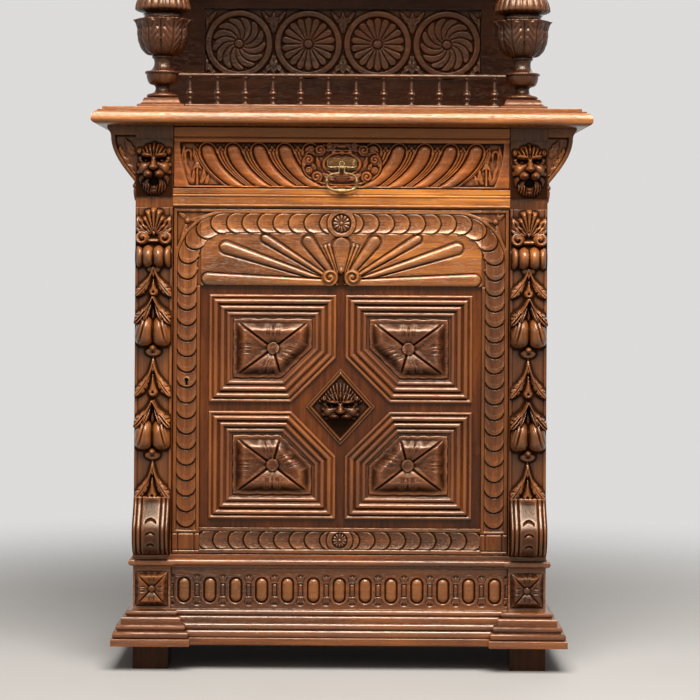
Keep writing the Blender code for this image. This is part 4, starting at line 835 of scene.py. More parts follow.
def doorPanel(name, node, towardsRight, towardsTop):
    low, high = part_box(node)
    wide, tall = (high[0] - low[0]) / mm, (high[2] - low[2]) / mm
    cut, cell = panelCarving["cornerCut"], panelCarving["cell"]
    outline = [(cut, 0), (wide, 0), (wide, tall), (0, tall), (0, cut)]
    # rows follow the outline, so the cut corner's edge stays clean
    rows, columns = int(tall / cell), int(wide / cell)
    u, v = np.meshgrid(np.linspace(0, wide, columns), np.linspace(0, tall, rows))
    start = np.maximum(cut - v, 0)
    u = start + (wide - start) * u / wide
    inside, along = distanceInside(u, v, outline)
    moulding = panelCarving["moulding"]
    spot = (wide / 2 - 1, tall / 2)  # the boss
    far = (wide - moulding, tall - moulding)
    cutEnd = (cut + 0.41 * moulding, moulding)  # foot of the cut side, inside the moulding
    ribs = [(a - spot[0], b - spot[1]) for a, b in (cutEnd, (far[0], moulding), far, (moulding, far[1]))]
    depth = np.maximum(inside - moulding, 0)
    cushion = 0.6 + cushionCarving(u - spot[0], v - spot[1], depth, ribs, panelCarving["cushion"])
    lift = np.where(inside < moulding, overSection(inside, panelCarving["section"]), cushion)
    x = low[0] + u * mm if towardsRight else high[0] - u * mm
    z = low[2] + v * mm if towardsTop else high[2] - v * mm
    grain = np.stack([along * mm, inside * mm, lift * mm], axis=-1)
    flat = np.stack([u * mm, v * mm, lift * mm], axis=-1)
    grain = np.where((inside < moulding)[..., None], grain, flat)
    y = high[1] - lift * mm
    steep = np.minimum(np.minimum(u, wide - u), (u + v - cut) / math.sqrt(2)) < inside + 0.01
    steep = np.where(inside < moulding, np.where(steep, 0.5, 0.15), 0.0)
    if towardsRight != towardsTop:  # mirrored once: columns the other way round
        x, y, z, lift, grain, inside, steep = (a[:, ::-1] for a in (x, y, z, lift, grain, inside, steep))
    stainAndShading = 0.70 * (inside > moulding)  # the cushions are darker than their mouldings
    stainAndShading = stainAndShading - hollows(lift, cell) * steep  # and painted light on the upright mouldings: their hollows lightened, as light from above leaves them less shade than the level ones
    carvedSheet(name, x, y, z, high[1] + bedding, lift, cell, "door", [node], finish=oakPanel,
                grain=grain, stainAndShading=stainAndShading)


for tall in ("lower", "upper"):
    for side in ("left", "right"):
        doorPanel(f"doorPanel{tall.title()}{side.title()}", f"door_panel_{tall}_{side}", side == "right",
                  tall == "upper")
print("door panels carved")


# Lion heads, on the posts and small on the lozenge
lionFace = {"strands": 30, "maneRise": 19.0, "noseRise": 46.0}


def lionCarving(u, v):  # u across, v up from the middle, drawn for a mask 68 by 108
    c = lionFace
    side = np.abs(u)
    w = v + 9  # the face hangs under the middle
    r = np.hypot(u / 33.5, (v + 2) / 52)
    sweep = np.arctan2(w - 10, side + 0.01)  # strands run out from the muzzle
    flow = c["strands"] / 2 * sweep + 1.8 * np.sin(0.15 * np.hypot(u, w - 10))
    strand = np.abs(np.cos(flow / 2)) ** 0.7
    fine = 0.5 + 0.5 * np.cos(3.2 * flow)
    edge = 0.88 + 0.12 * strand
    mane = c["maneRise"] * np.sqrt(unit(1 - (r / edge) ** 3)) * (0.52 + 0.38 * strand + 0.10 * fine)
    spoke = np.arctan2(u, np.maximum(w - 12, 1))  # short hairs fan up over the brows
    comb = 0.5 + 0.5 * np.cos(30 * spoke)
    tuft = np.hypot(u / 26, (w - 36) / (15 + 4 * comb))
    fringe = 27 * np.sqrt(unit(1 - tuft ** 2.4)) * (0.60 + 0.40 * comb)
    ears = dome(side, w, 27, 39, 5.0, 7.0, 22)
    face = blended(
        2.8, dome(u, w, 0, 14, 25, 28, 27), dome(side, w - 0.16 * (side - 11), 12.0, 31, 13.5, 6.0, 37),
        dome(side, w, 19, 8, 11, 15, 25), dome(u, w, 0, 9, 10.4, 8.6, c["noseRise"] - 1),
        dome(side, w, 9.6, -3.4, 11.4, 9.4, 40),
        ridge(side, 7.4, 1.0) * (32 + 10 * ease(28, 9, w)) * ease(3, 9, w) * ease(34, 26, w)) - 2.6
    jaw = blended(2.0, dome(u, w, 0, -28, 8.5, 5.5, 24), dome(u, w, 0, -34, 8, 7, 20)) - 1.4
    curls = np.abs(np.cos(0.62 * u + 0.55 * np.sin(0.30 * w)))
    beard = 17 * np.sqrt(unit(1 - np.hypot(u / 24, (w + 24) / 20) ** 3)) * (0.55 + 0.45 * curls)
    lift = highest(mane, fringe, ears, face, jaw, beard)
    lift = lift + pit(side, w, 13.5, 23.6, 9.0, 4.0, 17) + pit(u, w, 0, 34, 1.8, 7.0, 6)
    lift = np.maximum(lift, dome(side, w, 14.2, 21.6, 4.2, 2.6, 21))
    lift = lift + pit(side, w, 5.4, 3.6, 2.4, 1.8, 7)
    lift = lift + pit(u, w, 0, -2, 1.3, 6.5, 6) + pit(side, w, 26, 40, 2.6, 3.6, 8)
    lift = lift + pit(u, w, 0, -17.0, 6.2, 6.0, 34)
    return np.maximum(lift, 0)


def postLion(x, z):
    return 3.0 + np.maximum(lionCarving(x, z - 54) - 3, 0)


def postLionShade(x, z):  # painted shade under the muzzle over the beard and mouth; darker at the top and the sides
    return 1.05 * ease(49, 35, z) + 0.25 * ease(94, 106, z) + 0.30 * ease(20, 28, np.abs(x))


for side in ("left", "right"):
    node = f"lion_mask_{side}"
    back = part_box(node)[1][1]
    carvedBoard(f"postLion{side.title()}", node, "cabinet", postLion, face=back, cell=0.8, along="z",
                stainAndShading=postLionShade)


lozenge = {
    "grid": 110, "rays": 50,
    "section": ((0, 0), (0.3, 3.6), (3.0, 4.6), (3.8, 2.2), (4.9, 4.8), (7.2, 6.4), (9.4, 4.6), (10.2, 1.6),
                (11.6, 0.8), (90, 0.8)),
}


def lozengePiece():
    low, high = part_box("door_lozenge")
    halfWide, halfTall = (high[0] - low[0]) / 2 / mm, (high[2] - low[2]) / 2 / mm
    a, b = np.meshgrid(*[np.linspace(-1, 1, lozenge["grid"])] * 2)
    u, v = (a - b) / 2 * halfWide, (a + b) / 2 * halfTall
    inside = (1 - np.maximum(np.abs(a), np.abs(b))) * halfWide * halfTall / math.hypot(halfWide, halfTall)
    fan = 0.5 + 0.5 * np.cos(lozenge["rays"] * np.arctan2(u, np.maximum(v + 14, 1)))
    rays = (4.0 + 5.5 * fan) * ease(54, 20, v) * ease(4, 12, v)
    head = lionCarving(u / 1.1, v / 0.8 + 10) * 0.64 * ease(-34, -14, v)
    mask = np.maximum(head, rays) * ease(9.8, 12.4, inside)
    lift = np.maximum(overSection(inside, lozenge["section"]), mask)
    grain = np.stack([np.where(np.abs(a) > np.abs(b), b, a) * 0.05, inside * mm, lift * mm], axis=-1)
    middle = ((low[0] + high[0]) / 2, (low[2] + high[2]) / 2)
    # the mask darker, and painted shadow under the muzzle where the head's shadow falls
    stainAndShading = (0.52 + 0.65 * ease(-8, -20, v)) * ease(8.3, 10.6, inside)
    carvedSheet("doorLozenge", middle[0] + u * mm, high[1] - lift * mm, middle[1] + v * mm,
                high[1] + bedding, lift, 0.9, "door", ["door_lozenge"], grain=grain, stainAndShading=stainAndShading)


lozengePiece()
print("masks carved")


# Drops of leaves and fruit on the posts, over a scroll
dropCarving = {"step": 193.0, "firstCluster": 172.0, "clusters": 2, "console": 108.0, "consoleRise": 46.0,
               "ground": 3.0}


def podded(u, v, cx, cz, rx, rz, rise):  # a plump fruit, wider and squarer at its foot, with two seams
    t = (v - cz) / rz
    aside = (u - cx + 1.5 * t) / (rx * (1 - 0.10 * t))
    body = unit(1 - np.abs(aside) ** 2.5 - np.abs(t) ** np.where(t < 0, 3.2, 2.2))
    seam = np.exp(-((aside - 0.18 + 0.30 * t) / 0.09) ** 2)
    seam = seam + 0.8 * np.exp(-((aside - 0.58 + 0.26 * t) / 0.08) ** 2)
    return rise * np.sqrt(body) * (1 - 0.12 * seam)


def swelling(x, v, middle, halfTall, rise):  # four rounded ribs side by side, like a melon
    turn = np.arcsin(np.clip(x / 35.0, -1, 1))  # outer ribs seen edge on
    lobe = np.abs(np.sin(np.pi * turn / 0.61)) ** 0.6
    ends = halfTall * (0.80 + 0.23 * lobe ** 2)
    body = np.sqrt(unit(1 - ((v - middle) / ends) ** 2)) * np.sqrt(unit(1 - (x / 38) ** 2))
    return rise * body * (0.66 + 0.34 * lobe)


def shell(x, v, foot, rise):  # five fluted lobes fanned up from a foot
    r, turn = np.hypot(x, v - foot), np.arctan2(x, v - foot) / 0.23
    order = np.clip(np.round(turn), -2, 2)
    near = 2 * np.abs(turn - order)  # 1 half way to the next lobe
    reach = 53 - 3.2 * order ** 2
    tip = np.sqrt(unit(1 - unit((r - reach + 9) / 9) ** 2))
    body = np.sqrt(unit(1 - near ** 2.6)) * tip * (r < reach)
    return rise * body * (0.32 + 0.68 * unit(r / reach) ** 1.2)


def tipped(side, v, foot, tip, halfWidth, rise, bow):
    # a leaf that widens from a thin stalk to a notched, pointed end
    dx, dz = tip[0] - foot[0], tip[1] - foot[1]
    length = math.hypot(dx, dz)
    along = unit(((side - foot[0]) * dx + (v - foot[1]) * dz) / length ** 2)
    aside = ((v - foot[1]) * dx - (side - foot[0]) * dz) / length + bow * length * 4 * along * (1 - along)
    blade = leaf(side, v, foot, tip, halfWidth, rise, 0, -bow, 2.3)
    notches = sum(np.exp(-((along - s - 0.006 * np.abs(aside)) / 0.020) ** 2) for s in (0.52, 0.68, 0.82))
    blade = blade * (1 - 0.62 * notches * ease(0.38, 0.75, np.abs(aside) / halfWidth))
    veins = np.exp(-((np.abs(aside) - 0.20 * halfWidth - 0.30 * halfWidth * along) / 0.8) ** 2)
    stalk = ridge(aside, 2.6, 0.8 * rise) * (along > 0) * (along < 0.5)
    return np.maximum(blade * (1 - 0.22 * veins * ease(0.25, 0.45, along)), stalk)


def sprig(side, x, v, head, foot):  # two hanging leaves, a stem and a bud
    neck, bud = head - 22, foot + 8
    stalk = ridge(x, 0.6 + 8.6 * unit((neck - v) / (neck - bud)) ** 1.5, 14) * (v < neck) * (v > bud)
    ball = dome(x, v, 0, bud, 9.2, 9.2, 15)
    return highest(
        tipped(side, v, (0.4, head + 2), (34, foot), 9.5, 15, 0.075),
        leaf(x, v, (0, head + 12), (0, head - 18), 3.2, 13, 0, 0.0, 1.2),
        np.maximum(stalk, ball) + pit(x, v, 0, bud, 2.6, 2.6, 8) * (ball > 0),
    )


def fruitDrop(x, z):
    c = dropCarving
    total = np.max(z)
    v = z - total  # 0 at the head, falling
    side = np.abs(x)
    lift = highest(
        shell(x, v, -53, 22),
        leaf(side, v, (4, -50), (31, -17), 11.5, 18, 3, -0.10, 1.0),
        leaf(side, v, (6, -50), (34, -38), 6.0, 15, 2, -0.10, 1.0),
        volute(side, v, 20.5, -57, 13.5, 20, 1, 1.1),
        ridge(v + 62, 4.0, 9) * (side < 10),
        swelling(x, v, -91, 20.5, 31),
        dome(x, v, 0, -114, 13, 10, 9),
        sprig(side, x, v, -113, -166),
    )
    for i in range(c["clusters"]):
        g = -c["firstCluster"] - i * c["step"]
        lift = highest(
            lift,
            tipped(side, v, (0.5, g + 5), (34.5, g - 45), 11.0, 35, 0.05),
            leaf(side, v, (0, g + 2), (17, g - 40), 5.6, 33, 0, 0.0, 1.9),
            dome(x, v, 0, g - 24, 5, 20, 9),
            podded(side, v, 15.6, g - 58, 18.0, 29, 33),
            dome(x, v, 0, g - 90, 7.4, 6.4, 20),
            dome(x, v, 0, g - 97, 15, 9, 13) + pit(x, v, 0, g - 99, 7, 4, 6) * (v > g - 106),
            sprig(side, x, v, g - 118, g - 181),
        )
    share = unit(z / c["console"])
    crest = 0.42
    under = unit(1 - share / crest)
    roll = np.where(share < crest, np.sqrt(1 - 0.90 * under ** 2.4), 0.30 + 0.70 * ease(1.0, crest, share))
    scroll = c["consoleRise"] * roll
    grooves = sum(np.exp(-((side - g) / 1.3) ** 2) for g in (18.0, 26.5))
    bow = z + 0.060 * x ** 2
    notch = sum(ease(g - 6, g, bow) * ease(g + 1.0, g, bow) * ease(reach, reach - 3, side)
                for g, reach in ((25, 8.0), (47, 10.0), (71, 11.5)))
    scroll = scroll - 3.2 * unit(grooves) - 3.2 * notch + 1.6 * np.sqrt(unit(1 - (side / 17.5) ** 2))
    scroll = scroll - 3.0 * ease(30, 34, side)
    lift = np.where(z < c["console"], np.maximum(lift, scroll), lift)
    edge = 1.6 * ease(29.5, 30.5, side) * (lift < 2)
    return c["ground"] + lift + edge


def dropShade(x, z):  # painted shade on the ground between the relief and on the scroll, taking down its highlight; darkest where the scroll curls under at the foot
    c = dropCarving
    ground = 0.40 * ease(3.5, 1.0, fruitDrop(x, z) - c["ground"])
    return ground + 0.98 * ease(c["console"] + 4, c["console"] - 4, z) + 0.35 * ease(22, 4, z)


for side in ("left", "right"):
    node = f"fruit_drop_{side}"
    carvedBoard(f"fruitDrop{side.title()}", node, "cabinet", fruitDrop, face=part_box(node)[1][1],
                cell=0.95, along="z", finish=oakFruit, stainAndShading=dropShade)
print("fruit drops carved")


# Drawer front: sloping gadroons either side of a cartouche
drawerCarving = {
    "pitch": 48.3, "firstHead": 252.0, "sweep": 56.0, "foot": 2.6, "head": 84.0, "end": 303.5,
    "ground": -6.0, "headHalf": 11.8, "tailHalf": 15.4,
    "strip": 93.5,  # foot of the plain strip along the head
}


def drawerCartouche(x, z):  # scrolled strapwork behind the pull
    side = np.abs(x)
    shield = 1 - (side / 76) ** 2.4 - (np.abs(z - 43.5) / 40) ** 2.4
    rim = ridge(shield * 26 - 2.6, 2.2, 4.8)
    lift = highest(
        1.6 * ease(0, 0.06, shield), rim,
        volute(side, z, 41, 70, 11, 9.2), volute(side, z, 62, 52, 10.5, 8.8, -1),
        volute(side, z, 47, 20, 11.5, 9.0), volute(side, z, 23, 78, 6.6, 7.6, -1),
        volute(side, z, 57, 71, 6.4, 7.4, -1), volute(side, z, 62, 32, 7.4, 7.8),
        leaf(side, z, (30, 68), (4, 84), 6.0, 6.6, 2), leaf(side, z, (44, 60), (66, 66), 6.5, 6.4, 3, 0.15),
        leaf(side, z, (38, 26), (10, 12), 6.0, 5.8, 3), leaf(side, z, (50, 32), (56, 46), 5.0, 6.0, 2),
        leaf(side, z, (42, 36), (47, 58), 4.6, 6.4, 2), dome(side, z, 70, 42, 3.4, 4.4, 6.4),
        dome(x, z, 0, 78, 12, 5, 6.4), dome(side, z, 15, 65, 5.5, 4.5, 5.6),
        dome(x, z, 0, 65, 6.5, 4.5, 5.8),
        ridge(np.hypot(x / 34, (z - 44) / 21) * 30 - 30, 3.0, 4.6), dome(x, z, 0, 18, 14, 9, 4.4),
        leaf(side, z, (2, 26), (22, 18), 5.0, 4.4, 2),
        ridge(np.abs(z - 70) - 0.04 * side, 1.2, 3.6) * (side < 32),
    )
    return shield, lift


def drawerEnd(u, z):  # u in from the end margin: a bowed margin, a hooked leaf and a drooping sprig
    bowed = 19 * unit(1 - z / 84) ** 2.0 - u
    droop = leaf(np.abs(u - 33), z, (0.5, 48), (8.5, 33), 3.4, 5.6, 0, -0.12)
    return highest(
        6.0 * ease(-1.2, -0.2, bowed), leaf(u, z, (24, 5), (9, 80), 8.5, 5.6, 3, 0.10),
        ridge(np.hypot((u - 16) * 1.1, np.maximum(z - 63, 0)) - 5.8, 1.3 + 1.5 * ease(46, 64, z),
              5.6 * ease(44, 56, z)),
        ridge(u - 33, 2.6 - 0.02 * z, 4.4) * (z < 44) * (z > 4), droop,
        leaf(u, z, (33, 44), (27, 80), 7.0, 5.6, 2),
        leaf(u, z, (39, 6), (45, 36), 5.5, 4.8, 2, -0.1), leaf(u, z, (50, 5), (54, 24), 4.5, 4.4, 2),
        leaf(u, z, (25, 6), (27, 34), 4.0, 4.6, 2))


def drawerFrontCarving(x, z):
    c = drawerCarving
    side = np.abs(x)
    tall = c["head"] - c["foot"]
    down = (c["head"] - z) / tall
    fall = unit(down)
    sweep = c["sweep"] * fall ** 2.2
    phase = (side + sweep - c["firstHead"]) / c["pitch"]
    order = np.round(phase)
    aside = (phase - order) * c["pitch"]  # level distance from the lobe's middle
    half = c["headHalf"] + (c["tailHalf"] - c["headHalf"]) * fall
    start = (4.0 + c["headHalf"]) / tall
    over = np.maximum(start - down, 0) * tall
    out = np.hypot(over / c["headHalf"], aside / half)
    lobe = 7.4 * np.sqrt(unit(1 - out ** 2))
    gap = c["pitch"] - 2 * half
    across = (np.abs(aside) - half) / gap  # 0 at this lobe's edge, half way to the next at 0.5
    across = np.where(aside > 0, across, 1 - across)
    ridges = (across - 0.10) / 0.80 * 3
    reed = ridge(ridges - np.floor(ridges) - 0.5, 0.43, 4.6)
    reed = reed * (ridges > 0) * (ridges < 3) * ease(0.16, 0.24, down)
    rim = ridge((out - 1) * c["headHalf"] - 3.2, 1.8, 4.6) * (down < 0.26)
    tuft = highest(dome(np.abs(aside), z, c["pitch"] / 2, c["head"] - 9, 3.4, 3.4, 4.6),
                   dome(np.abs(aside), z, c["pitch"] / 2 - 3.6, c["head"] - 14, 3.0, 3.0, 4.2))
    lift = np.where(order > 0.5, 0.0, highest(lobe, rim, reed, tuft))
    lift = np.where(side + sweep > c["firstHead"] + c["pitch"] / 2 + 1,
                    np.maximum(drawerEnd(c["end"] - side, z), 0.4), lift)
    shield, strap = drawerCartouche(x, z)
    lift = np.where((shield > -0.02) | (strap > 2.4), np.maximum(strap, 0.4), lift)
    # sunk field between plain margins
    inside = np.minimum(c["end"] - side, np.minimum(z - c["foot"], c["head"] - z))
    margin = 6.0 * ease(0.4, -0.6, inside)
    bead = ridge(z - c["strip"] + 4.6, 3.6, 1.6)
    groove = -3.0 * np.exp(-((z - c["strip"]) / 0.9) ** 2)
    lift = np.maximum(np.where(inside > 0, lift, 0.0), margin)
    return c["ground"] + lift + np.where(inside < 0, bead + groove, 0.0)


def drawerShading(x, z):  # painted light on the plain strip along the head, which the top board shades; the cartouche darker
    strip = ease(drawerCarving["head"] + 0.5, drawerCarving["head"] + 2, z)
    return -2.4 * strip + 0.30 * (drawerCartouche(x, z)[0] > 0) * (1 - strip)


carvedBoard("drawerFront", "drawer_front", "drawer", drawerFrontCarving, cell=1.0, finish=oakDrawerLit,
            stainAndShading=drawerShading)
print("drawer front carved")


# Plinth: frieze of upright ovals, flower blocks, stepped base mouldings
plinth = {"ovals": 13, "ovalPitch": 48.4, "halfWide": 11.6, "halfTall": 23.5, "baseHeight": 64.0,
          "ovalDrop": 3.5, "blockFlare": 38.0, "railFlare": 25.0, "flowerDeep": 4.0}
baseSection = drawn(
    (38, 0), ("to", 0, 12.0), ("upFirst", -2.5, 1.5), ("to", -4, 0), ("bead", 3.6, 13), ("to", -5, 0),
    ("to", 0, 2.0), ("bead", 3.0, 10), ("to", -6, 0), ("to", 0, 8.5), ("upFirst", -5, 5.0), ("to", -5, 0),
    ("to", 0, 1.5), ("bead", 2.8, 8.5), ("outFirst", -10.5, 2.0))


def ovalRim(x, z, middle, count):  # places from the nearest oval's middle, and mm outside its groove
    p = plinth
    order = np.clip(np.round(x / p["ovalPitch"]), -(count - 1) / 2, (count - 1) / 2)
    u, v = x - order * p["ovalPitch"], np.abs(z - middle)
    return u, v, np.hypot(u, np.maximum(v - p["halfTall"] + p["halfWide"], 0)) - p["halfWide"]


def ovalFrieze(x, z, middle, count):  # ovals let into a flush band, heights from the band's face
    pitch = plinth["ovalPitch"]
    u, v, r = ovalRim(x, z, middle, count)
    lift = np.where(r < 0, -4.2 + 6.0 * np.sqrt(unit(1 - (1 - unit(-(r + 1.4) / 10.0)) ** 2)), 0.0)
    lift = np.where(r >= 0, -4.2 * ease(1.2, 0.0, r) + 0.4 * ridge(r - 3.6, 2.6, 1.0), lift)
    between = np.abs(np.abs(u) - pitch / 2)
    cut = highest(
        ease(5.6, 4.8, between) * ease(13, 12.2, v),
        dome(between, v, 0, 21.5, 8.6, 8.0, 1.0) ** 0.3 * (v > 12.5))
    cut = np.where(r > 6.4, cut, 0.0)
    proud = highest(
        2.6 * np.sqrt(unit(1 - (between / 3.4) ** 2)) * ease(10.6, 9.8, v),
        dome(between, v, 0, 14.2, 4.0, 2.6, 2.8),
        leaf(between, v, (0.5, 14), (7.0, 26), 3.2, 3.0), dome(between, v, 0, 20.5, 2.6, 5.0, 2.8))
    lift = lift + np.where(cut > 0.05, -1.7 * unit(cut) + np.minimum(0.72 * proud, 1.7), 0.0)
    wide = np.abs(x) < (count - 1) / 2 * pitch + pitch / 2
    return np.where(wide, lift, 0.0)


def plinthRail():
    low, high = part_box("plinth_rail_front")
    p = plinth
    face = low[1] + p["railFlare"] * mm
    section = [(reach * p["railFlare"] / p["blockFlare"], up) for reach, up in baseSection]
    tall = (high[2] - low[2]) / mm
    frieze = [(0.0, level) for level in np.linspace(p["baseHeight"] + 1, tall, 80)]
    dense = densified(section + frieze, 1.6)
    wide = (high[0] - low[0]) / mm
    across = np.linspace(-wide / 2, wide / 2, int(wide / 1.1))
    x, level = np.meshgrid(across, dense[:, 1])
    reach = np.repeat(dense[:, :1], len(across), axis=1)
    inside = np.minimum(wide / 2 - 3 - np.abs(x), np.minimum(level - p["baseHeight"] - 7, tall - 7 - level))
    middle = (p["baseHeight"] + tall) / 2 - p["ovalDrop"]
    heights = reach + np.where(inside > -2, ovalFrieze(x, level, middle, p["ovals"]), 0.0)
    rim = ovalRim(x, level, middle, p["ovals"])[2]
    stainAndShading = -1.3 * ease(-1.6, -3.6, rim)  # lighter ovals on a darker band
    stainAndShading = stainAndShading + 0.46 * ease(p["baseHeight"] + 4, p["baseHeight"] + 8, level) * ease(-1.6, 0.4, rim)
    carvedSheet("plinthRail", x * mm, face - heights * mm, low[2] + level * mm, high[1], heights, 1.2,
                "cabinet", ["plinth_rail_front"], finish=oakBase, stainAndShading=stainAndShading)


def flowerDie(u, v, halfWide, halfTall):  # raised square with four fluted lobes
    inside = np.minimum(halfWide - np.abs(u), halfTall - np.abs(v))
    ribs = [(a * halfWide, b * halfTall) for a in (-1, 1) for b in (-1, 1)]
    cushion = cushionCarving(u, v, np.maximum(inside - 1.6, 0), ribs, 10.5, 0.02, 0.02, 0.13)
    return 1.2 * ease(0, 0.8, inside) + cushion


def plinthBlock(side):
    node = f"plinth_block_{side}"
    low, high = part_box(node)
    p = plinth
    postLow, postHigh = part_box(f"front_post_{side}")
    face = low[1] + p["blockFlare"] * mm
    outline = [(postLow[0], face), (postHigh[0], face), (postHigh[0], high[1]), (postLow[0], high[1])]
    top = (high[2] - low[2]) / mm
    section = baseSection + [(0, top)]
    mouldedSlab(f"plinthBlock{side.title()}", outline, (1, 1, 0, 1), section, low[2], "cabinet", [node],
                finish=oakBase)
    # flower plate let into the front
    halfWide, halfTall = (postHigh[0] - postLow[0]) / 2 / mm - 4.0, (top - p["baseHeight"]) / 2 - 5.0
    u, v = np.meshgrid(np.linspace(-halfWide, halfWide, 76), np.linspace(-halfTall, halfTall, 84))
    lift = flowerDie(u, v, halfWide, halfTall)
    middle = (postLow[0] + postHigh[0]) / 2
    level = low[2] + (p["baseHeight"] + top) / 2 * mm
    carvedSheet(f"plinthFlower{side.title()}", middle + u * mm, face - lift * mm, level + v * mm,
                face + p["flowerDeep"] * mm, lift, 0.8, "cabinet", [], stainAndShading=0.62)


def plinthSide(side):
    node = f"plinth_side_{side}"
    low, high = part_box(node)
    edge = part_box(f"front_post_{side}")[1 if side == "right" else 0][0]
    sign = 1 if side == "right" else -1
    ring = [(edge + sign * reach * mm, low[2] + up * mm) for reach, up in baseSection]
    inner = low[0] if side == "right" else high[0]
    ring += [(edge, high[2]), (inner, high[2]), (inner, low[2])]
    hollow = np.concatenate([sectionHollows(baseSection), [0, 0, 0]])
    if side == "right":
        ring, hollow = ring[::-1], hollow[::-1]
    rings = np.array([[(x, y, z) for x, z in ring] for y in np.linspace(low[1], high[1], 6)])
    pushedPiece(f"plinthSide{side.title()}", rings, hollow, "y", "cabinet", [node], sharp=sharpTurn)


plinthRail()
for side in ("left", "right"):
    plinthBlock(side)
    plinthSide(side)
print("plinth made")


# Floor board, top board and drawer rail
def waistOutline():
    post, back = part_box("front_post_right"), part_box("bottom_board")[1][1]
    block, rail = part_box("plinth_block_right"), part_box("plinth_rail_front")
    blockY, railY = block[0][1] + plinth["blockFlare"] * mm, rail[0][1] + plinth["railFlare"] * mm
    bay, half = post[0][0], post[1][0]
    left = [(-half, back), (-half, blockY), (-bay, blockY), (-bay, railY)]
    return left + [(-x, y) for x, y in left[::-1]]


waistSection = drawn(
    (0.0, 0.0), ("to", 0, 1.0), ("upFirst", 2.6, 3.4), ("to", 0.8, 0), ("bead", 5.2, 12.6),
    ("to", -1.4, 0), ("to", 0, 1.6), ("to", -1.0, 0), ("to", 0, 5.6), ("upFirst", -0.8, 1.0))
mouldedSlab("floorBoard", waistOutline(), (1, 1, 1, 1, 1, 1, 1, 0), waistSection,
            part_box("bottom_board")[0][2], "cabinet", ["bottom_board"], finish=oakWaistLit)
low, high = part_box("top_board")
topOutline = [(low[0], high[1]), (low[0], low[1]), (high[0], low[1]), (high[0], high[1])]
topSection = drawn(
    (-16, 0), ("outFirst", 16, 9), ("upFirst", -11, 16.4), ("to", 0, 2.2), ("to", -2.0, 0),
    ("to", -6.0, 0.4), ("to", 0, 5.0), ("upFirst", -1.2, 1.0))
mouldedSlab("topBoard", topOutline, (1, 1, 1, 0), topSection, low[2], "cabinet", ["top_board"],
            finish=oakGolden)
low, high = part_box("drawer_rail")
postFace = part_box("front_post_right")[0][1]
railSection = drawn(
    (0, 0), ("to", 0, 1.6), ("outFirst", 4.4, 3.2), ("upFirst", -1.4, 2.2), ("to", -0.4, 12.5),
    ("to", -1.2, 0), ("to", 0, 1.4), ("bead", 1.4, 4.6), ("to", -1.8, 0), ("to", 0, 1.4), ("to", 0.8, 0),
    ("to", 0, 8.6), ("upFirst", -0.6, 1.0))
runMoulding("drawerRail", (low[0], high[0]), railSection, postFace, low[2], high[1], "cabinet",
            ["drawer_rail"], finish=oakPaleRail)
print("boards and rail made")


# Side brackets with a carved leaf, a ball and tail under each
bracket = {"reach": 47.0, "tall": 88.0, "capTall": 17.0, "capReach": 54.0, "capProud": 1.5}


def sideBracket(side):
    low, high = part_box(f"side_bracket_{side}")
    p = bracket
    sign = 1 if side == "right" else -1
    inner = low[0] if side == "right" else high[0]
    s, t = np.meshgrid(np.linspace(0, 1, 52), np.linspace(0, 1, 108))
    total = p["tall"] + p["capTall"]
    level = t * total
    down = unit((p["tall"] - level) / p["tall"])
    capShare = unit((level - p["tall"]) / p["capTall"])
    cap = p["reach"] + (p["capReach"] - p["reach"]) * np.sin(capShare * np.pi / 2) ** 2
    reach = np.where(level < p["tall"], p["reach"] * np.cos(np.pi / 2 * down) + down, cap)
    u = s * reach
    fromEdge = (reach - u) * np.where(level < p["tall"], np.cos(0.6 * down), 1)
    rim = 4.5 * np.sqrt(unit(1 - np.abs((fromEdge - 4.2) / 4.4) ** 3))
    spray = highest(leaf(u, level, (3, 12), (30, 70), 13, 5.0, 4, -0.12),
                    leaf(u, level, (4, 50), (20, 82), 9, 4.4, 3))
    body = np.maximum(rim, np.where(fromEdge > 9.5, spray, 0))
    lift = np.where(level < p["tall"], body - 4.5, p["capProud"] * ease(0.0, 0.12, capShare))
    face = low[1] + p["capProud"] * mm
    x = inner + sign * u * mm
    y, z = face - lift * mm, low[2] + level * mm
    if side == "left":
        x, y, z, lift = x[:, ::-1], y[:, ::-1], z[:, ::-1], lift[:, ::-1]
    rows, columns = x.shape
    front = np.stack([x, y, z], axis=-1)
    rear = front.copy()
    rear[..., 1] = high[1]
    points = np.concatenate([front.reshape(-1, 3), rear.reshape(-1, 3)])
    faces = gridFaces(rows, columns)
    index = np.arange(rows * columns).reshape(rows, columns)
    shift = rows * columns
    back = [[a + shift for a in face[::-1]] for face in faces]
    rimLoop = [*index[0, :-1], *index[:-1, -1], *index[-1, :0:-1], *index[:0:-1, 0]]
    rimLoop = [int(i) for i in rimLoop]
    wall = [[b, a, a + shift, b + shift] for a, b in zip(rimLoop, rimLoop[1:] + rimLoop[:1])]
    hollow = np.concatenate([hollows(lift, 1.0).ravel(), np.zeros(shift)])
    addPiece(f"sideBracket{side.title()}", points, faces + back + wall, "cabinet",
             [f"side_bracket_{side}"], oakCarved, "waxed_oak", hollow, grainOf(points, "z"), sharp=50)


def bracketDrop(side):  # ball and tail on the post, under the bracket
    low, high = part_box(f"side_bracket_{side}")
    edge = low[0] + 1.5 * mm if side == "right" else high[0] - 1.5 * mm
    section = [(0.6, -34), (1.9, -30), (3.2, -22), (3.8, -15), (2.6, -12)]
    section += [(5.2 * math.sqrt(1 - ((level + 6.5) / 5.4) ** 2), level)
                for level in np.linspace(-11, -2, 10)]
    section += [(2.2, -1.0), (2.2, 1.5)]
    points, faces, hollow = turnedPoints(section, 16)
    points = points + (edge, low[1] + 12 * mm, low[2])
    addPiece(f"bracketDrop{side.title()}", points, faces, "cabinet", [], oakCarved, "waxed_oak", hollow,
             grainOf(points, "z"))


for side in ("left", "right"):
    sideBracket(side)
    bracketDrop(side)
print("brackets carved")


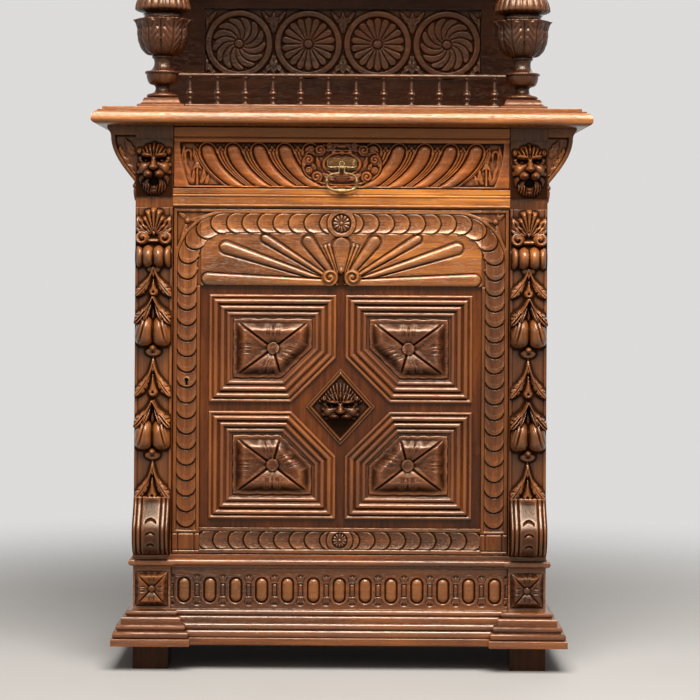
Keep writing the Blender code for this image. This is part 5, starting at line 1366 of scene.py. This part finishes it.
# Columns: turned, then carved with leaves and gadroons
column = {
    "sides": 144, "leaves": 6, "gadroons": 24, "flutes": 12,
    # the capital counts the ring at its foot
    "pedestal": 20.0, "pedestalHalf": 44.0, "abacus": 18.0, "capital": 66.0,
    "vaseFoot": 81.5, "vaseTall": 67.0, "cushionFoot": 160.5, "cushionHead": 204.0, "shaftFoot": 222.0,
}


def shaftHead(tall):
    return tall - column["abacus"] - column["capital"]


def columnSection(tall):  # (radius, level) in mm over the pedestal
    c = column
    lower = drawn(
        (24, 0), ("to", 0, 0.8), ("bead", 6.0, 8.2), ("to", -3, 0), ("to", 0, 1.0),
        ("outFirst", -8.0, 9.4), ("upFirst", 6.4, 6.6), ("to", 1.6, 0.6), ("outFirst", 9.4, 20.0),
        ("to", 1.6, 0), ("bead", 1.4, 4.6), ("to", -2.0, 0), ("outFirst", -14.4, 16.0),
        ("upFirst", 3.4, 9.0), ("to", 1.6, 1.3))
    bowl = [(18.6 + 24.0 * math.sqrt(1 - (1 - min(t / 0.62, 1)) ** 2)
             + 7.5 * max(0, (t - 0.72) / 0.28) ** 2,
             c["vaseFoot"] + c["vaseTall"] * t)
            for t in np.linspace(0, 1, 42)]
    vase = bowl + [(46, 149.5), (40, 148.0)]
    throat = drawn((44, 150), ("outFirst", -9, 4), ("to", 0, 3), ("upFirst", 3, 2))
    cushion = [((z0 - 169) / (9.5 if z0 < 169 else 44), z0) for z0 in np.linspace(161, 203, 26)]
    cushion = [(max(52.8 * math.sqrt(max(0.02, 1 - s ** 2)), 26), z0) for s, z0 in cushion]
    foot, head = c["shaftFoot"], shaftHead(tall)
    shaft = drawn((28, c["cushionHead"]), ("bead", 3, 7), ("to", -4, 0), ("to", 0, 3), ("to", 0, 3))
    shaft.append((24, foot))
    shaft += [(24 - 4 * t + 1.2 * math.sin(math.pi * t), foot + (head - foot) * t)
              for t in np.linspace(0.02, 1, 40)]
    capital = drawn((20, head), ("to", 2, 0), ("bead", 4, 6), ("to", 0, 2), ("bead", 3, 5), ("to", 0, 3),
                    ("upFirst", 4, 22), ("upFirst", 8, 18), ("to", 1, 0), ("bead", 2, 6), ("to", 0, 4.5))
    return lower + vase + throat + cushion + shaft + capital


def columnCarving(angle, level, radius, tall):
    c = column
    lift = np.zeros_like(radius)
    # upright leaves round the vase, a back row showing between
    t = (level - c["vaseFoot"]) / (c["vaseTall"] + 2)
    on = (t > 0) & (t < 1.0)
    for offset, rise in ((0.5, 2.8), (0.0, 7.0)):
        phase = angle * c["leaves"] / (2 * np.pi) + offset
        aside = np.abs(phase - np.round(phase))
        lobed = 0.84 + 0.16 * np.abs(np.cos(np.pi * (4.0 * t - 1.5 * aside)))
        half = 0.47 * np.sqrt(unit(1 - ((t - 0.42) / 0.60) ** 2)) * lobed
        blade = np.sqrt(unit(1 - (aside / np.maximum(half, 0.01)) ** 2))
        shape = rise * (0.58 + 0.42 * blade) * (0.66 + 0.34 * t)
        shape = shape * (1 - 0.30 * (0.5 + 0.5 * np.cos(2 * np.pi * (5.0 * t - aside * 5)))
                         * ease(0.05, 0.12, aside))
        shape = shape - 2.6 * np.exp(-(aside / 0.040) ** 2)
        lift = np.where(on & (aside < half), np.maximum(lift, shape), lift)
    # gadroons over the cushion
    foot, head = c["cushionFoot"], c["cushionHead"]
    cushion = (level > foot) & (level < head)
    lobe = np.abs(np.cos(angle * c["gadroons"] / 2))
    lift = np.where(cushion, -3.4 * (1 - lobe ** 0.5) * ease(head, head - 12, level)
                    * ease(foot, foot + 3.5, level), lift)
    # flutes up the shaft
    foot, top = c["shaftFoot"] + 4, shaftHead(tall)
    on = (level > foot) & (level < top - 4)
    flute = unit(np.cos(angle * c["flutes"])) ** 0.6
    lift = np.where(on, -2.2 * flute * ease(foot, foot + 6, level) * ease(top - 4, top - 10, level), lift)
    # leaves on the capital
    on = (level > top + 16) & (level < top + 56)
    lobe = np.abs(np.cos(angle * 4))
    lift = np.where(on, -2.6 * (1 - lobe ** 0.6) * ease(top + 16, top + 24, level), lift)
    return lift


def columnPiece(side):
    low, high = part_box(f"column_{side}")
    middle = ((low[0] + high[0]) / 2, (low[1] + high[1]) / 2)
    foot = low[2] + column["pedestal"] * mm
    tall = (high[2] - foot) / mm
    dense = densified(columnSection(tall), 1.7)
    turn = np.linspace(0, 2 * np.pi, column["sides"], endpoint=False)
    angle, level = np.meshgrid(turn, dense[:, 1])
    radius = np.repeat(dense[:, :1], len(turn), axis=1)
    lift = columnCarving(angle, level, radius, tall)
    r = radius + lift
    across, deep, up = r * np.cos(angle) * mm, r * np.sin(angle) * mm, level * mm
    points = np.stack([middle[0] + across, middle[1] + deep, foot + up], axis=-1)
    faces = tubeFaces(*angle.shape)
    smooth = [True] * (len(faces) - 2) + [False] * 2
    hollow = hollows(r, 1.7, wrap=True) - 1.3 * ((level > 160) & (level < 205))  # painted light on the gadroon cushion, the column's lit top
    grain = np.stack([up, deep, across], axis=-1)
    addPiece(f"column{side.title()}", points.reshape(-1, 3), faces, "cabinet", [f"column_{side}"],
             oakTurnedShaded, "waxed_oak", hollow.ravel(), grain.reshape(-1, 3), smooth=smooth)
    # splayed pedestal and abacus
    half = column["pedestalHalf"] * mm
    square = [(middle[0] + a * half, middle[1] + b * half) for a, b in ((-1, -1), (1, -1), (1, 1), (-1, 1))]
    section = drawn((0, 0), ("to", 0, 6), ("upFirst", -1.2, 1.0), ("outFirst", -9, 9), ("to", 0, 1.2),
                    ("to", -2, 0), ("to", 0, 2.6))
    mouldedSlab(f"columnPedestal{side.title()}", square, (1, 1, 1, 1), section, low[2], "cabinet", [])
    section = drawn((-6, 0), ("upFirst", 2.5, 6), ("to", 1.0, 0), ("to", 0, 2), ("bead", 1.4, 5),
                    ("to", 0, 5))
    mouldedSlab(f"columnAbacus{side.title()}", square, (1, 1, 1, 1), section,
                high[2] - column["abacus"] * mm, "cabinet", [])


for side in ("left", "right"):
    columnPiece(side)
print("columns turned and carved")


# Repeats by Geometry Nodes: an object set out in a row between two places
def rowTree(name):
    tree = bpy.data.node_groups.new(name, "GeometryNodeTree")
    face = tree.interface
    face.new_socket("Geometry", in_out="OUTPUT", socket_type="NodeSocketGeometry")
    sockets = {}
    for label, kind in (("Piece", "NodeSocketObject"), ("Count", "NodeSocketInt"),
                        ("Start", "NodeSocketVector"), ("Step", "NodeSocketVector"),
                        ("Finish", "NodeSocketMaterial")):
        sockets[label] = face.new_socket(label, in_out="INPUT", socket_type=kind).identifier
    made = {}
    for key, kind in (("ask", "NodeGroupInput"), ("give", "NodeGroupOutput"),
                      ("line", "GeometryNodeMeshLine"), ("info", "GeometryNodeObjectInfo"),
                      ("set", "GeometryNodeInstanceOnPoints"), ("real", "GeometryNodeRealizeInstances"),
                      ("paint", "GeometryNodeSetMaterial")):
        made[key] = tree.nodes.new(kind)
    made["line"].mode = "OFFSET"
    join = tree.links.new
    ask = made["ask"].outputs
    join(ask["Count"], made["line"].inputs["Count"])
    join(ask["Start"], made["line"].inputs["Start Location"])
    join(ask["Step"], made["line"].inputs["Offset"])
    join(ask["Piece"], made["info"].inputs["Object"])
    join(made["line"].outputs[0], made["set"].inputs["Points"])
    join(made["info"].outputs["Geometry"], made["set"].inputs["Instance"])
    join(made["set"].outputs[0], made["real"].inputs[0])
    join(made["real"].outputs[0], made["paint"].inputs["Geometry"])
    join(ask["Finish"], made["paint"].inputs["Material"])
    join(made["paint"].outputs[0], made["give"].inputs[0])
    return tree, sockets


rowNodes, rowSockets = rowTree("rowOfPieces")


def setOut(name, pattern, count, start, step, finish):
    holder = bpy.data.objects.new(name, bpy.data.meshes.new(name))
    bpy.context.scene.collection.objects.link(holder)
    change = holder.modifiers.new("row", "NODES")
    change.node_group = rowNodes
    for label, value in (("Piece", pattern), ("Count", count), ("Start", start), ("Step", step),
                         ("Finish", finish)):
        change[rowSockets[label]] = value
    bpy.context.view_layer.update()
    mesh = bpy.data.meshes.new_from_object(holder.evaluated_get(bpy.context.evaluated_depsgraph_get()))
    holder.modifiers.remove(change)
    holder.data = mesh
    return holder


def patternPiece(name, points, faces, hollow):
    mesh = bpy.data.meshes.new(name)
    mesh.from_pydata(np.asarray(points).tolist(), [], faces)
    mesh.shade_smooth()
    store(mesh, "hollow", hollow)
    store(mesh, "grain", grainOf(points, "z"))
    piece = bpy.data.objects.new(name, mesh)
    bpy.context.scene.collection.objects.link(piece)
    return piece


gallery = {"balusters": 12, "sides": 16, "plump": 1.28, "sill": 10.0, "sillInto": 9.0, "rail": 7.0,
           "railHalf": 6.5}


def galleryPieces():
    low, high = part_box("gallery")
    left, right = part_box("column_left"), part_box("column_right")
    axes = [(b[0][0] + b[1][0]) / 2 for b in (left, right)]
    y = (low[1] + high[1]) / 2
    clear = (high[2] - low[2]) / mm - gallery["sill"] - gallery["rail"]
    section = drawn((4.8, -0.5), ("to", 0, 2.5), ("to", -1.4, 0.4), ("outFirst", -1.0, 2.6),
                    ("to", 0, 2.0), ("upFirst", 1.0, 3.0), ("bead", 1.6, 2.4), ("to", -0.4, 0.3),
                    ("upFirst", 2.6, 6.5), ("upFirst", -2.4, 6.0), ("to", -0.2, 0.4), ("bead", 1.5, 2.2),
                    ("to", -0.6, 0.3))
    x, z = section[-1]
    section += [(x - 0.7 * t, z + (clear - 7.5 - z) * t) for t in np.linspace(0.1, 1, 6)]
    section += drawn((x - 0.7, clear - 7.5), ("upFirst", 3.4, 5.0), ("to", 0, 2.8))[1:]
    section = [(r * gallery["plump"], level) for r, level in section]
    pattern = patternPiece("balusterPattern", *turnedPoints(section, gallery["sides"]))
    pitch = (axes[1] - axes[0]) / (gallery["balusters"] + 1)
    start = (axes[0] + pitch, y, low[2] + gallery["sill"] * mm)
    row = setOut("galleryBalusters", pattern, gallery["balusters"], start, (pitch, 0, 0), oakTurnedShaded)
    dress(row, "cabinet", ["gallery"], None)
    bpy.data.objects.remove(pattern, do_unlink=True)
    sill = axes[1] - (right[1][0] - right[0][0]) / 2 + gallery["sillInto"] * mm
    section = drawn((0, 0), ("to", 0, 4.0), ("upFirst", -1.4, 1.4), ("to", -1.2, 0), ("to", 0, 1.4),
                    ("outFirst", -2.4, 3.2))
    runMoulding("gallerySill", (-sill, sill), section, low[1], low[2], high[1], "cabinet", [])
    rail, half = high[0], gallery["railHalf"] * mm
    section = drawn((0, 0), ("to", 0, 0.6), ("bead", 2.4, 5.8), ("to", 0, 0.6))
    runMoulding("galleryRail", (-rail, rail), section, y - half, high[2] - gallery["rail"] * mm, y + half,
                "cabinet", [], finish=oakTurnedShaded)


galleryPieces()
print("gallery set out")


# Back of the niche: four rosettes, and a plain fielded panel over them
rosettePanel = {"pitch": 142.8, "ground": -8.0, "proud": 6.0}


def nearestRosette(x, z):  # its order from the middle, and the place from its centre
    pitch = rosettePanel["pitch"]
    order = np.clip(np.round(x / pitch - 0.5) + 0.5, -1.5, 1.5)
    return order, x - order * pitch, z - np.max(z) / 2


def rosetteCarving(x, z):
    p = rosettePanel
    order, u, v = nearestRosette(x, z)
    r = np.hypot(u, v)
    outer = np.abs(order) > 1
    petals, twist = np.where(outer, 13, 18), np.where(outer, 0.95, 0.0)
    turn = np.arctan2(v, u * np.sign(order)) + twist * (r / 55) ** 1.25
    # mm from a petal's middle
    near = np.abs(np.mod(petals * turn / (2 * np.pi), 1) - 0.5) * 2 * np.pi * r / petals
    halfPetal = np.minimum(np.pi * r / petals - 0.35, 3.6 + 0.17 * r)
    tip = np.sqrt(unit(1 - ((r - 46) / 8.5) ** 2)) * (r > 46) + (r <= 46)
    blade = unit(1 - (near / np.maximum(halfPetal * tip, 0.2)) ** 8) ** 0.5
    lift = 5.6 * blade * (0.70 + 0.30 * r / 55) * (r < 55) * (r > 11)
    lift = highest(lift, 6.6 * unit(1 - (r / 9.8) ** 8) ** 0.5, 3.4 * np.exp(-((r - 12.4) / 1.3) ** 2))
    ring = 6.6 * unit(1 - np.abs((r - 63.0) / 6.8) ** 8) ** 0.5
    lift = np.maximum(lift, ring)
    spandrel = np.abs(np.abs(u) - p["pitch"] / 2)
    away = np.abs(v)
    spray = highest(leaf(spandrel, away, (0, 22), (0, 68), 10, 5.4, 3),
                    leaf(spandrel, away, (3, 40), (26, 69), 7, 5.0, 3))
    lift = np.where(r > 69.5, np.maximum(lift, spray), lift)
    ends = np.abs(x) > 2 * p["pitch"] - 3
    return p["ground"] + np.where(ends, 0.8, lift)


def rosetteShade(x, z):  # painted shade in the corners round the rings
    return 0.45 * ease(68, 70, np.hypot(*nearestRosette(x, z)[1:]))


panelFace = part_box("rosette_panel")[0][1] - rosettePanel["proud"] * mm
carvedBoard("rosettePanel", "rosette_panel", "cabinet", rosetteCarving, face=panelFace, finish=oakShaded,
            slot="shaded_oak", stainAndShading=rosetteShade)


def fieldedCarving(x, z):
    wide, tall = np.max(np.abs(x)), np.max(z)
    inside = np.minimum(wide - np.abs(x), np.minimum(z, tall - z))
    return overSection(inside, ((0, 4), (5, 5.5), (8, 3), (9, 0), (34, 4.5), (34.5, 5.6), (300, 5.6)))


carvedBoard("nichePanel", "niche_panel", "cabinet", fieldedCarving, cell=2.2, finish=oakShaded,
            slot="shaded_oak")
print("niche panels carved")


# Side panels: sunk ground and raised field inside a flat border
sideBoard = {"tongue": 8.0, "border": 58.0, "thick": 19.5}


def sidePanel(side):
    low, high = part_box(f"side_panel_{side}")
    tongue = sideBoard["tongue"] * mm
    lowY, highY, lowZ, highZ = low[1] + tongue, high[1] - tongue, low[2], high[2]
    outline = [(lowY, lowZ), (highY, lowZ), (highY, highZ), (lowY, highZ)]
    outer, sign = (high[0], 1) if side == "right" else (low[0], -1)
    section = [(0, -sideBoard["thick"]), (0, 0)] + drawn(
        (sideBoard["border"], 0), ("to", 0, -1.5), ("outFirst", 6, -6.5), ("to", 4, 0), ("to", 24, 6.5),
        ("to", 0, 1.2), ("to", 3, 0.2))
    rings = []
    for inset, up in section:
        flat = grown(outline, [-inset * mm] * 4)
        rings.append([(outer + sign * up * mm, y, z) for y, z in flat])
    rings = np.array(rings)
    if side == "left":
        rings = rings[:, ::-1]
    hollow = [0, 0, -0.2, 0.2, 0.3, 0.5, 0.8, 0.9, 0.9, 0.9, 0.8, 0.1, -0.4, -0.2]
    loftedPiece(f"sidePanel{side.title()}", rings, hollow, "cabinet", [f"side_panel_{side}"], along="z")


for side in ("left", "right"):
    sidePanel(side)
print("side panels made")


# Canopy: carved frieze, dentils and a moulded cornice
canopy = {
    "ovals": 15, "margin": 16.0, "boardThick": 22.0, "corniceReach": 44.0,
    "dentil": (14.0, 9.0, 12.0), "dentilPitch": 24.0, "dentilLevel": 7.6, "dentilGround": 3.0,
}


def canopyPieces():
    low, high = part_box("canopy_frieze")
    wide, tall = (high[0] - low[0]) / mm, (high[2] - low[2]) / mm
    x, z = np.meshgrid(np.linspace(-wide / 2, wide / 2, int(wide / 1.3)),
                       np.linspace(0, tall, int(tall / 1.1)))
    inside = np.minimum(wide / 2 - canopy["margin"] - np.abs(x), np.minimum(z - 6, tall - 6 - z))
    lift = np.where(inside > -2, ovalFrieze(x, z, tall / 2, canopy["ovals"]), 0.0)
    thick = canopy["boardThick"] * mm
    carvedSheet("canopyFriezeFront", x * mm, low[1] - lift * mm, low[2] + z * mm, low[1] + thick, lift,
                1.2, "cabinet", ["canopy_frieze"])
    for side, sign in (("Left", -1), ("Right", 1)):
        section = drawn((0, 0), ("to", 0, 6), ("to", -2, 0), ("to", 0, tall - 12), ("to", 2, 0),
                        ("to", 0, 6))
        outer = high[0] if sign > 0 else low[0]
        ring = [(outer + sign * reach * mm, low[2] + up * mm) for reach, up in section]
        inner = outer - sign * thick
        ring += [(inner, high[2]), (inner, low[2])]
        if sign > 0:
            ring = ring[::-1]
        rings = np.array([[(a, y, b) for a, b in ring]
                          for y in np.linspace(low[1] + thick - 0.5 * mm, high[1], 5)])
        pushedPiece(f"canopyFrieze{side}", rings, np.zeros(len(ring)), "y", "cabinet", [], smooth=False)
    low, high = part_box("canopy_cornice")
    reach = canopy["corniceReach"] * mm
    left, right, front = low[0] + reach, high[0] - reach, low[1] + reach
    outline = [(left, high[1]), (left, front), (right, front), (right, high[1])]
    section = drawn((0, 0), ("to", 3, 0), ("to", 0, 14.5), ("to", 11, 0), ("to", 0, 2), ("upFirst", 8, 6),
                    ("to", 2, 0), ("to", 0, 1.5), ("upFirst", 9, 5), ("outFirst", 8, 4.5), ("to", 3, 0),
                    ("to", 0, 8.5), ("to", -0.8, 0))
    mouldedSlab("canopyCornice", outline, (1, 1, 1, 0), section, low[2], "cabinet", ["canopy_cornice"],
                topHollow=1.3, finish=oakCanopy)  # dust has dulled the top; its darkening is painted shade that hides the lamp's reflection
    a, b, c = (value * mm / 2 for value in canopy["dentil"])
    bevel = 0.8 * mm
    rings = [[(-a + e, -b + e, z), (a - e, -b + e, z), (a - e, b - e, z), (-a + e, b - e, z)]
             for e, z in ((bevel, -c), (0, -c + bevel), (0, c - bevel), (bevel, c))]
    points = np.array(rings).reshape(-1, 3)
    block = patternPiece("dentilPattern", points, tubeFaces(4, 4), np.zeros(len(points)))
    pitch = canopy["dentilPitch"] * mm
    level, ground = low[2] + canopy["dentilLevel"] * mm, canopy["dentilGround"] * mm
    face = front - ground - b
    count = int((right - left) / pitch)
    start = -(count - 1) / 2 * pitch
    row = setOut("corniceDentilsFront", block, count, (start, face, level), (pitch, 0, 0), oakCarved)
    dress(row, "cabinet", [], None)
    for side, sign in (("Left", -1), ("Right", 1)):
        edge = sign * (right + ground + b)
        count = int((high[1] - low[1] - reach) / pitch)
        row = setOut(f"corniceDentils{side}", block, count, (edge, front + pitch / 2, level),
                     (0, pitch, 0), oakCarved)
        dress(row, "cabinet", [], None)
    bpy.data.objects.remove(block, do_unlink=True)


canopyPieces()
print("canopy made")


# Drawer pull: pressed back plate and a cast bail
pull = {
    "plateHalf": 28.0, "plateTall": 22.0, "beads": 13,
    # a bailSquare under 1 squares the corners
    "bailHalf": 28.0, "bailTall": 16.5, "bailDrop": 27.0, "bailNeck": 5.0, "bailSquare": 0.72,
    "eyeOuter": 3.6, "eyeInner": 2.0, "eyeHalf": 2.6, "eyeSides": 28, "armSides": 16,
}


def pullPlate():
    low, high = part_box("drawer_pull_plate")
    p = pull
    x, z = np.meshgrid(np.linspace(-p["plateHalf"] - 1, p["plateHalf"] + 1, 116),
                       np.linspace(-0.5, p["plateTall"] + 0.5, 56))
    side, middle = np.abs(x), p["plateTall"] / 2
    half = middle * (1 - 0.55 * unit(side / p["plateHalf"]) ** 3)
    half = half + 0.7 * np.cos(side * 0.5) * ease(24, 14, side)
    inside = np.minimum(half - np.abs(z - middle), p["plateHalf"] - side)  # mm in from the plate's edge
    lift = 0.9 * ease(-0.4, 0.3, inside) + 1.6 * np.sqrt(unit(1 - (1 - unit(inside / 9.0)) ** 2))
    lift = lift - 0.7 * np.exp(-((inside - 2.4) / 0.6) ** 2) * (inside > 0)
    row = 4.4 + 2.2 * np.exp(-(x / 8.0) ** 2)
    strip = ridge(z - row, 1.6, 1.0)
    places = [(u, 4.4 + 2.2 * math.exp(-(u / 8.0) ** 2)) for u in np.linspace(-20, 20, p["beads"])]
    beads = highest(*[dome(x, z, u, w, 1.55, 1.55, 1.7) for u, w in places])
    shell = rosette(x, z, 0, 10.5, 6.4, 9, 2.6) * (z > 8)
    lift = lift + (np.maximum(beads, strip) + shell) * ease(0, 1, inside)
    # the bead row lighter: a painted highlight
    carvedSheet("pullPlate", x * mm, high[1] - np.maximum(lift, 0.04) * mm, low[2] + z * mm,
                high[1] + bedding, lift, 0.5, "drawer", ["drawer_pull_plate"], finish=brassDull,
                slot="aged_brass", stainAndShading=-1.6 * (beads > 0.5))


def brassPiece(name, points, faces, body, nodes, **more):
    addPiece(name, points, faces, body, nodes, brassAged, "aged_brass", np.zeros(len(points)), **more)


def ringPiece(name, route, radii, body, nodes, sides=14):  # a closed wire of changing thickness
    route = np.asarray(route, float)
    tangent = np.roll(route, -1, axis=0) - np.roll(route, 1, axis=0)
    tangent /= np.linalg.norm(tangent, axis=1)[:, None]
    side = np.cross(tangent, (0, 1, 0))
    side /= np.linalg.norm(side, axis=1)[:, None]
    up = np.cross(side, tangent)
    angle = np.linspace(0, 2 * np.pi, sides, endpoint=False)[None, :, None]
    rings = route[:, None] + radii[:, None, None] * (np.cos(angle) * side[:, None]
                                                     + np.sin(angle) * up[:, None])
    points = rings.reshape(-1, 3)
    brassPiece(name, points, loopFaces(len(route), sides), body, nodes)


def pullBail():
    p = pull
    joint = [j for j in frame["joints"] if j["name"] == "bail_swing"][0]
    x0, y0, z0 = joint["pos_m"]
    half, neck, full = p["bailHalf"], p["bailNeck"], p["bailSquare"]
    gap = math.asin((neck / half) ** (1 / full))
    turn = np.linspace(math.pi / 2 - gap, -3 * math.pi / 2 + gap, 96)
    loop = [(half * math.copysign(abs(math.cos(a)) ** full, math.cos(a)),
             p["bailTall"] * math.copysign(abs(math.sin(a)) ** full, math.sin(a)) - p["bailDrop"])
             for a in turn]
    low = [a + math.pi / 2 for a in turn]  # 0 at the foot of the loop
    radii = [2.0 + 1.5 * math.exp(-(a / 0.70) ** 2) + 1.7 * math.exp(-((abs(a) - 1.62) / 0.11) ** 2)
             + 1.7 * math.exp(-(a / 0.16) ** 2) for a in low]  # swollen foot, knops at foot and sides
    right = [(neck, loop[0][1] * t) for t in (0.0, 0.35, 0.7)]
    route = [(-3.0, 0), (0, 0), (3.0, 0), *right, *loop, *[(-u, v) for u, v in right[::-1]]]
    thick = [1.5] * 3 + [1.6] * len(right) + radii + [1.6] * len(right)
    points = [(x0 + u * mm, y0, z0 + v * mm) for u, v in route]
    ringPiece("pullBail", points, np.array(thick) * mm, "bail", ["drawer_pull_bail"])


def pullEye():  # a ring that holds the bail's bar, on a short arm
    p = pull
    joint = [j for j in frame["joints"] if j["name"] == "bail_swing"][0]
    y0, z0 = joint["pos_m"][1:]
    turn = np.linspace(0, 2 * np.pi, p["eyeSides"], endpoint=False)
    wide, outer, inner = (p[key] * mm for key in ("eyeHalf", "eyeOuter", "eyeInner"))
    rings = [[(x, y0 + r * math.cos(a), z0 + r * math.sin(a)) for a in turn]
             for x, r in ((wide, outer), (-wide, outer), (-wide, inner), (wide, inner))]
    points = np.array(rings).reshape(-1, 3)
    brassPiece("pullEye", points, loopFaces(4, p["eyeSides"]), "drawer", [], sharp=40)
    plate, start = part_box("drawer_pull_plate")[1][1], y0 + 3.0 * mm
    turn = np.linspace(0, 2 * np.pi, p["armSides"], endpoint=False)
    share = np.linspace(0, 1, 8)
    rings = [[(r * math.cos(a), start + (plate - start) * t, z0 + r * math.sin(a)) for a in turn]
             for t, r in zip(share, (2.2 + 1.6 * share ** 3) * mm)]
    points = np.array(rings).reshape(-1, 3)
    faces = [face[::-1] for face in tubeFaces(len(share), p["armSides"])]
    brassPiece("pullArm", points, faces, "drawer", [])


pullPlate()
pullBail()
pullEye()
print("drawer pull made")


# Boards that stay as they are in the frame
plainBoards = (
    (oakUpright, "front_post_left front_post_right rear_post_left rear_post_right"),
    (oakAcross, "canopy_soffit"),
    (oakField, "door_field"),
    (oakFootShaded, "foot_front_left foot_front_right foot_rear_left foot_rear_right"),
    (oakBackUprightShaded, "back_panel"),
    (oakBackAcrossShaded, "plinth_rail_back back_frame"),
    (oakBareAcross, "shelf drawer_back"),
    (oakBareDeepwise, "drawer_bottom drawer_side_left drawer_side_right"),
    (oakBareDeepwise, "drawer_runner_left drawer_runner_right"),
    (brassAged, "keyhole_liner hinge_pin_lower hinge_pin_upper"),
    (ironDark, "lock_case lock_bolt"),
)
for finish, nodes in plainBoards:
    for node in nodes.split():
        frame["nodes"][node].data.materials.clear()
        frame["nodes"][node].data.materials.append(finish)
print("plain boards finished")


# Floor, light and camera
studio = {
    "floor": (0.31, 0.298, 0.285), "floorRadius": 3.2, "floorFade": (0.8, 2.3),  # metres from the middle
    "cameraX": 0.007, "cameraAway": 3.9, "cameraHeight": 0.765, "lens": 107.3, "shiftX": 5 / 700,
    "shiftY": -90 / 700,
    "roll": -0.35,  # degrees
}


def stageFloor():
    mesh = bpy.data.meshes.new("floor")
    turn = np.linspace(0, 2 * np.pi, 64, endpoint=False)
    edge = [studio["floorRadius"] * np.array((math.cos(a), math.sin(a), 0)) for a in turn]
    mesh.from_pydata(np.array(edge).tolist(), [], [[*range(len(edge))]])
    floor = bpy.data.objects.new("floor", mesh)
    bpy.context.scene.collection.objects.link(floor)
    made = Finish("paleFloor")
    spot = made.node("ShaderNodeTexCoord", output=3)
    cloud = made.node("ShaderNodeTexNoise", None, {"Vector": spot, "Scale": 3.0, "Detail": 3.0})
    tone = made.mix(cloud, [c * 0.96 for c in studio["floor"]], [min(1, c * 1.04) for c in studio["floor"]])
    away = made.node("ShaderNodeVectorMath", {"operation": "LENGTH"}, {0: spot}, output=1)
    near, far = studio["floorFade"]
    fade = made.node("ShaderNodeMapRange", {"interpolation_type": "SMOOTHSTEP"},
                     {0: away, 1: near, 2: far, 3: 1.0, 4: 0.0})
    mesh.materials.append(made.shade(Base_Color=tone, Roughness=0.75, Alpha=fade))


def lamp(name, place, aim, size, power, tint=(1, 1, 1)):
    light = bpy.data.lights.new(name, "AREA")
    light.shape = "RECTANGLE"
    light.size, light.size_y = size
    light.energy = power
    light.color = tint
    lampObject = bpy.data.objects.new(name, light)
    bpy.context.scene.collection.objects.link(lampObject)
    lampObject.location = place
    away = np.array(place) - np.array(aim)
    flat = math.hypot(away[0], away[1])
    lampObject.rotation_euler = (math.atan2(flat, away[2]), 0, math.atan2(away[0], -away[1]))


def stageLight():
    world = bpy.data.worlds.new("studioAir")
    world.use_nodes = True
    nodes, links = world.node_tree.nodes, world.node_tree.links
    air = nodes["Background"]
    air.inputs["Color"].default_value = (0.92, 0.95, 1.0, 1)
    air.inputs["Strength"].default_value = 0.08
    seen = nodes.new("ShaderNodeBackground")
    seen.inputs["Color"].default_value = (0.72, 0.71, 0.70, 1)
    seen.inputs["Strength"].default_value = 1.0
    path, mix = nodes.new("ShaderNodeLightPath"), nodes.new("ShaderNodeMixShader")
    seenBy = [path.outputs[label] for label in ("Is Camera Ray", "Is Glossy Ray", "Is Transmission Ray")]
    share = seenBy[0]
    for ray in seenBy[1:]:
        most = nodes.new("ShaderNodeMath")
        most.operation = "MAXIMUM"
        links.new(share, most.inputs[0])
        links.new(ray, most.inputs[1])
        share = most.outputs[0]
    links.new(share, mix.inputs[0])
    links.new(air.outputs[0], mix.inputs[1])
    links.new(seen.outputs[0], mix.inputs[2])
    links.new(mix.outputs[0], nodes["World Output"].inputs["Surface"])
    bpy.context.scene.world = world
    lamp("keyLamp", (0.18, -1.75, 3.0), (0, -0.25, 0.75), (2.3, 1.9), 272, (1.0, 0.97, 0.93))
    lamp("fillLamp", (-2.7, -2.7, 1.9), (0, -0.1, 0.7), (1.4, 1.4), 15, (1.0, 0.96, 0.92))
    lamp("sideLamp", (2.9, -2.5, 1.5), (0, -0.1, 0.7), (1.2, 1.4), 8, (1.0, 0.96, 0.92))
    lamp("backLamp", (0.8, 2.6, 2.6), (0, 0.1, 0.9), (2.6, 2.2), 30)


def stageCamera():
    lens = bpy.data.cameras.new("photoCamera")
    lens.lens = studio["lens"]
    lens.sensor_width = 36.0
    lens.shift_x, lens.shift_y = studio["shiftX"], studio["shiftY"]
    camera = bpy.data.objects.new("photoCamera", lens)
    bpy.context.scene.collection.objects.link(camera)
    camera.location = (studio["cameraX"], postFace - studio["cameraAway"], studio["cameraHeight"])
    camera.rotation_euler = (math.pi / 2, math.radians(studio["roll"]), 0)
    bpy.context.scene.camera = camera


stageFloor()
stageLight()
stageCamera()
bpy.context.scene.view_settings.view_transform = "Standard"
print("stage set")
